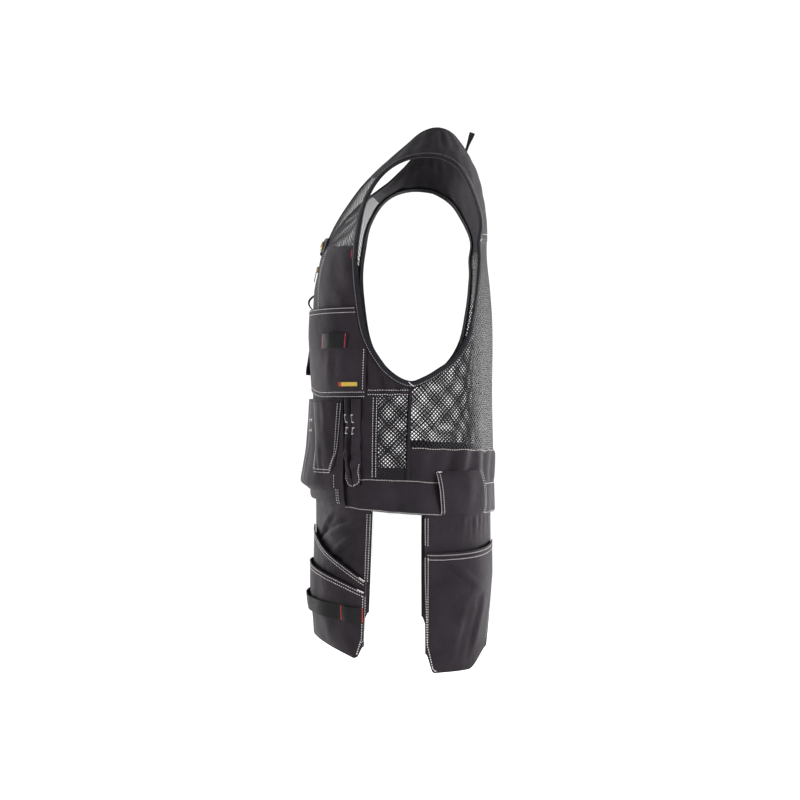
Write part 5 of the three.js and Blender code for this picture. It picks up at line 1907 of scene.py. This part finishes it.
@dataclass
class FrontClosing:
    """Zip with its slider, the snap tab with its button, and the small loops of tape."""

    shop: Workshop
    panels: Panels
    tooth: float = 3.0
    tooth_size: tuple[float, float, float] = (3.4, 1.2, 1.1)
    zip_bottom: float = 0.966
    snap_radius: float = 8.0
    # share of the snap's radius, and height, from the middle of its back round to the middle of its face
    snap_profile: tuple[tuple[float, float], ...] = (
        (0.0, 0.0),
        (1.0, 0.0),
        (1.0, 0.9),
        (0.95, 1.7),
        (0.84, 2.2),
        (0.7, 2.1),
        (0.62, 1.6),
        (0.5, 1.75),
        (0.25, 2.0),
        (0.0, 2.1),
    )
    # middle and size of the slider's body, its bridge and its pull
    slider_boxes: tuple[tuple[tuple[float, float, float], tuple[float, float, float]], ...] = (
        ((0, 7.5, 0.9), (8, 10, 1.8)),
        ((0, 7.5, 2.4), (2.4, 8, 1.4)),
        ((0, -4.5, 2.5), (6, 17, 1.2)),
    )
    hang_reach: float = 13.0
    hang_height: float = 34.0
    hang_width: float = 9.0

    def stand(self, made: bmesh.types.BMesh, angle: float, drop: float, height: float) -> bpy.types.Mesh:
        """Sets a small hard piece on the body.

        Args:
            made: The piece, made flat with +Z out and +Y up, which is let go.
            angle: Where round the body.
            drop: Where down the body.
            height: Height over the body in millimetres.

        Returns:
            Its mesh.
        """
        body, where, level = self.shop.body, np.array(angle), np.array(drop)
        out = Vector(body.outward(where, level))
        up = Vector(-body.directions(where, level)[1])
        up = (up - out * up.dot(out)).normalized()
        turn = Matrix((up.cross(out), up, out)).transposed().to_4x4()
        place = Matrix.Scale(MM, 4) @ Matrix.Translation(Vector(body.point(where, level, height))) @ turn
        bmesh.ops.transform(made, matrix=place, verts=made.verts[:])
        mesh = mesh_of(made)
        mesh.shade_smooth()
        mesh.set_sharp_from_angle(angle=math.radians(35))
        return mesh

    def zip_place(self, s: Array, t: Array) -> Spot:
        """Place on the zip's tape."""
        drop = lerp(self.panels.chest_centre, self.zip_bottom, t)
        return lerp(-1.0, 1.0, s) * self.shop.body.front_angle(self.panels.zip_width / 2, drop), drop

    def zip_strip(self) -> None:
        """Closed zip: its tape, with the two rows of teeth locked along the middle."""
        shop, top, bottom = self.shop, self.panels.chest_centre, self.zip_bottom
        tape = shop.on_body(self.zip_place, 0.0)
        shop.cloth("zip_tape", "front_zip", tape, (6, 60), BOUND_TAPE, 1.0, Cut.LEFT)
        made = bmesh.new()
        number = int((bottom - top) * shop.body.length / self.tooth) * 2
        for k in range(number):
            _, y, z = shop.body.point(np.array(0.0), np.array(top + (k + 0.5) / number * (bottom - top)), 1.7)
            place = Matrix.Scale(MM, 4) @ Matrix.Translation((0.9 if k % 2 else -0.9, y, z))
            bmesh.ops.create_cube(made, size=1.0, matrix=place @ Matrix.Diagonal((*self.tooth_size, 1.0)))
        shop.hand_over("zip_teeth", mesh_of(made), PLASTIC, cut=Cut.LEFT)

    def slider(self) -> None:
        """Slider with its bridge and pull."""
        made = bmesh.new()
        for middle, size in self.slider_boxes:
            place = Matrix.Translation(middle) @ Matrix.Diagonal((*size, 1))
            bmesh.ops.create_cube(made, size=1.0, matrix=place)
        for vert in made.verts:
            if vert.co.z < 2 and vert.co.y < 5:
                vert.co.x *= 0.7  # the slider's body is narrower at its foot
        rounding = {"offset": 0.45, "offset_type": "OFFSET", "segments": 2, "profile": 0.5}
        bmesh.ops.bevel(made, geom=made.edges[:], affect="EDGES", material=-1, **rounding)
        mesh = self.stand(made, 0.0, 0.372, 2.6)
        self.shop.hand_over("brass_slider", mesh, BRASS, "zip_slider", cut=Cut.LEFT)

    def tab_lift(self, at: At) -> Array:
        """Height of the snap's tab, which rises over the tape under it."""
        return lerp(2.6, 1.6, at.t) + 0.2 + 2.5 * hump((at.s - 0.06) / 0.88, 0.5)

    def snap(self) -> None:
        """Tab of tape across the bottom of the V, with a pressed brass button."""
        shop = self.shop
        tab = shop.on_body(lambda s, t: (lerp(-3.0, 19.0, s), 0.288 + 0.036 * t), self.tab_lift)
        shop.cloth("snap_tab_tape", "snap_tab", tab, (24, 8), BOUND_TAPE, cut=Cut.LEFT)
        made = bmesh.new()
        verts = [made.verts.new((max(r * self.snap_radius, 0.001), 0.0, z)) for r, z in self.snap_profile]
        edges = [made.edges.new(pair) for pair in zip(verts[:-1], verts[1:])]
        turn = {"cent": (0, 0, 0), "axis": (0, 0, 1), "dvec": (0, 0, 0), "angle": 2 * math.pi, "steps": 40}
        bmesh.ops.spin(made, geom=verts + edges, use_merge=True, **turn)
        bmesh.ops.remove_doubles(made, verts=made.verts[:], dist=1e-4)
        bmesh.ops.recalc_face_normals(made, faces=made.faces[:])
        mesh = self.stand(made, 12.0, 0.3067, 6.9)
        shop.hand_over("brass_snap", mesh, BRASS, "snap_button", cut=Cut.LEFT)
        seams = Seams(shop, "snap_tab_stitches_L", DARK_THREAD, Cut.LEFT)
        seams.row(tab, ((0.04, 0.1), (0.96, 0.1), (0.96, 0.9), (0.04, 0.9)))
        seams.finish_off()

    def hang_loop(self) -> None:
        """Loop of tape at the back of the neck."""
        body, reach = self.shop.body, self.hang_reach
        along = np.linspace(83, 100, 400)
        foot_at = np.interp(-reach, -body.point(*body.neck(along))[:, 0], along)
        foot = body.point(*body.neck(foot_at), 1.3)

        def shape(s: Array, t: Array) -> Array:
            """Points with s along the tape and t across it.

            Args:
                s: Shares across.
                t: Shares down.

            Returns:
                Points in millimetres.
            """
            rise = np.sin(np.pi * np.clip(s, 0, 1)) ** 0.8
            turn = smooth(rise**1.5)  # the tape lies across at its feet and shows its face at the top
            lean = (t - 0.5) * self.hang_width
            x = -reach * np.cos(np.pi * s) + lean * (1 - turn) * 0.3
            y = foot[1] + 12.0 * rise + lean * lerp(0.35, 0.94, turn)
            z = foot[2] + 0.9 + self.hang_height * rise - lean * 0.33 * turn
            return np.stack(np.broadcast_arrays(x, y, z), -1)

        self.shop.cloth("hang_loop_tape", "hang_loop", shape, (40, 6), BOUND_TAPE, 1.4, Cut.LEFT)

    def loop_place(self, s: Array, t: Array) -> Spot:
        """Place on the small loop beside the front edge."""
        drop = 0.425 + t * 26 / self.shop.body.length
        return -self.shop.body.front_angle(lerp(21.0, 8.4, s), drop), drop

    def loop_lift(self, at: At) -> Array:
        """Height of the small loop."""
        return 1.8 + 9.0 * hump((at.t - 0.06) / 0.88, ROUND)

    def build(self) -> None:
        """Makes all the small fittings."""
        self.zip_strip()
        self.slider()
        self.snap()
        self.hang_loop()
        loop = self.shop.on_body(self.loop_place, self.loop_lift)
        self.shop.cloth("front_loop_tape", "front_loop", loop, (8, 22), WEBBING, cut=Cut.LEFT)


@dataclass
class Studio:
    """Pale floor, soft light and the camera, in metres."""

    floor_level: float = -1.25
    floor_radius: float = 9.0
    room_light: float = 1.1
    lamp_size: float = 0.9
    middle: tuple[float, float, float] = (0, -0.05, -0.42)
    eye: tuple[float, float, float] = (2.2, -0.057, -0.422)
    lens: float = 61.875
    # place and power of each soft lamp
    lamps: tuple[tuple[str, tuple[float, float, float], float], ...] = (
        ("front_left", (1.3, -2.35, -0.7), 100),
        ("back_left", (1.3, 2.2, -0.7), 165),
        ("front_right", (-1.6, -2.2, -0.5), 130),
        ("back_right", (-1.6, 2.0, -0.5), 150),
    )

    def build(self) -> None:
        """Makes the floor, the room, the lamps and the camera."""
        self.floor()
        scene = bpy.context.scene
        scene.world = bpy.data.worlds.new("white_room")
        scene.world.use_nodes = True
        room = scene.world.node_tree.nodes["Background"].inputs
        room["Color"].default_value, room["Strength"].default_value = (1, 1, 1, 1), self.room_light
        for name, place, power in self.lamps:
            lamp = bpy.data.lights.new(name, "AREA")
            lamp.size, lamp.energy = self.lamp_size, power
            made = bpy.data.objects.new(name, lamp)
            made.location = place
            made.rotation_euler = (Vector(self.middle) - Vector(place)).to_track_quat("-Z", "Y").to_euler()
            scene.collection.objects.link(made)
        camera = bpy.data.cameras.new("camera")
        camera.sensor_width, camera.lens, camera.clip_start, camera.clip_end = 36.0, self.lens, 0.05, 60.0
        scene.camera = bpy.data.objects.new("camera", camera)
        scene.camera.location = self.eye
        scene.camera.rotation_euler = (math.radians(90), 0.0, math.radians(90))
        scene.collection.objects.link(scene.camera)
        scene.view_settings.view_transform = "Standard"

    def floor(self) -> None:
        """Matt white disc, which melts into the room and only gives the eye a faint bounce of light."""
        made = bmesh.new()
        place = Matrix.Translation((0, 0, self.floor_level))
        bmesh.ops.create_circle(made, cap_ends=True, segments=96, radius=self.floor_radius, matrix=place)
        floor = bpy.data.objects.new("pale_floor", mesh_of(made))
        bpy.context.scene.collection.objects.link(floor)
        paint = bpy.data.materials.new("pale_floor_paint")
        paint.use_nodes = True
        shader = paint.node_tree.nodes["Principled BSDF"].inputs
        shader["Base Color"].default_value, shader["Roughness"].default_value = srgb("#f7f7f7"), 0.9
        floor.data.materials.append(paint)


def main() -> None:
    """Builds the looks in order."""
    logging.basicConfig(level=logging.INFO, format="%(name)s %(message)s")
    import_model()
    shop = Workshop()
    panels = Panels(shop)
    panels.build()
    Nets(shop, panels).build()
    Bindings(shop).build()
    ChestPockets(shop).build()
    LowerPockets(shop).build()
    FrontHolsters(shop).build()
    BackHolsters(shop).build()
    BeltLoops(shop).build()
    FrontClosing(shop, panels).build()
    Studio().build()
    bpy.context.view_layer.update()
    log.info("%d pieces", shop.count)


if __name__ == "__main__":
    main()
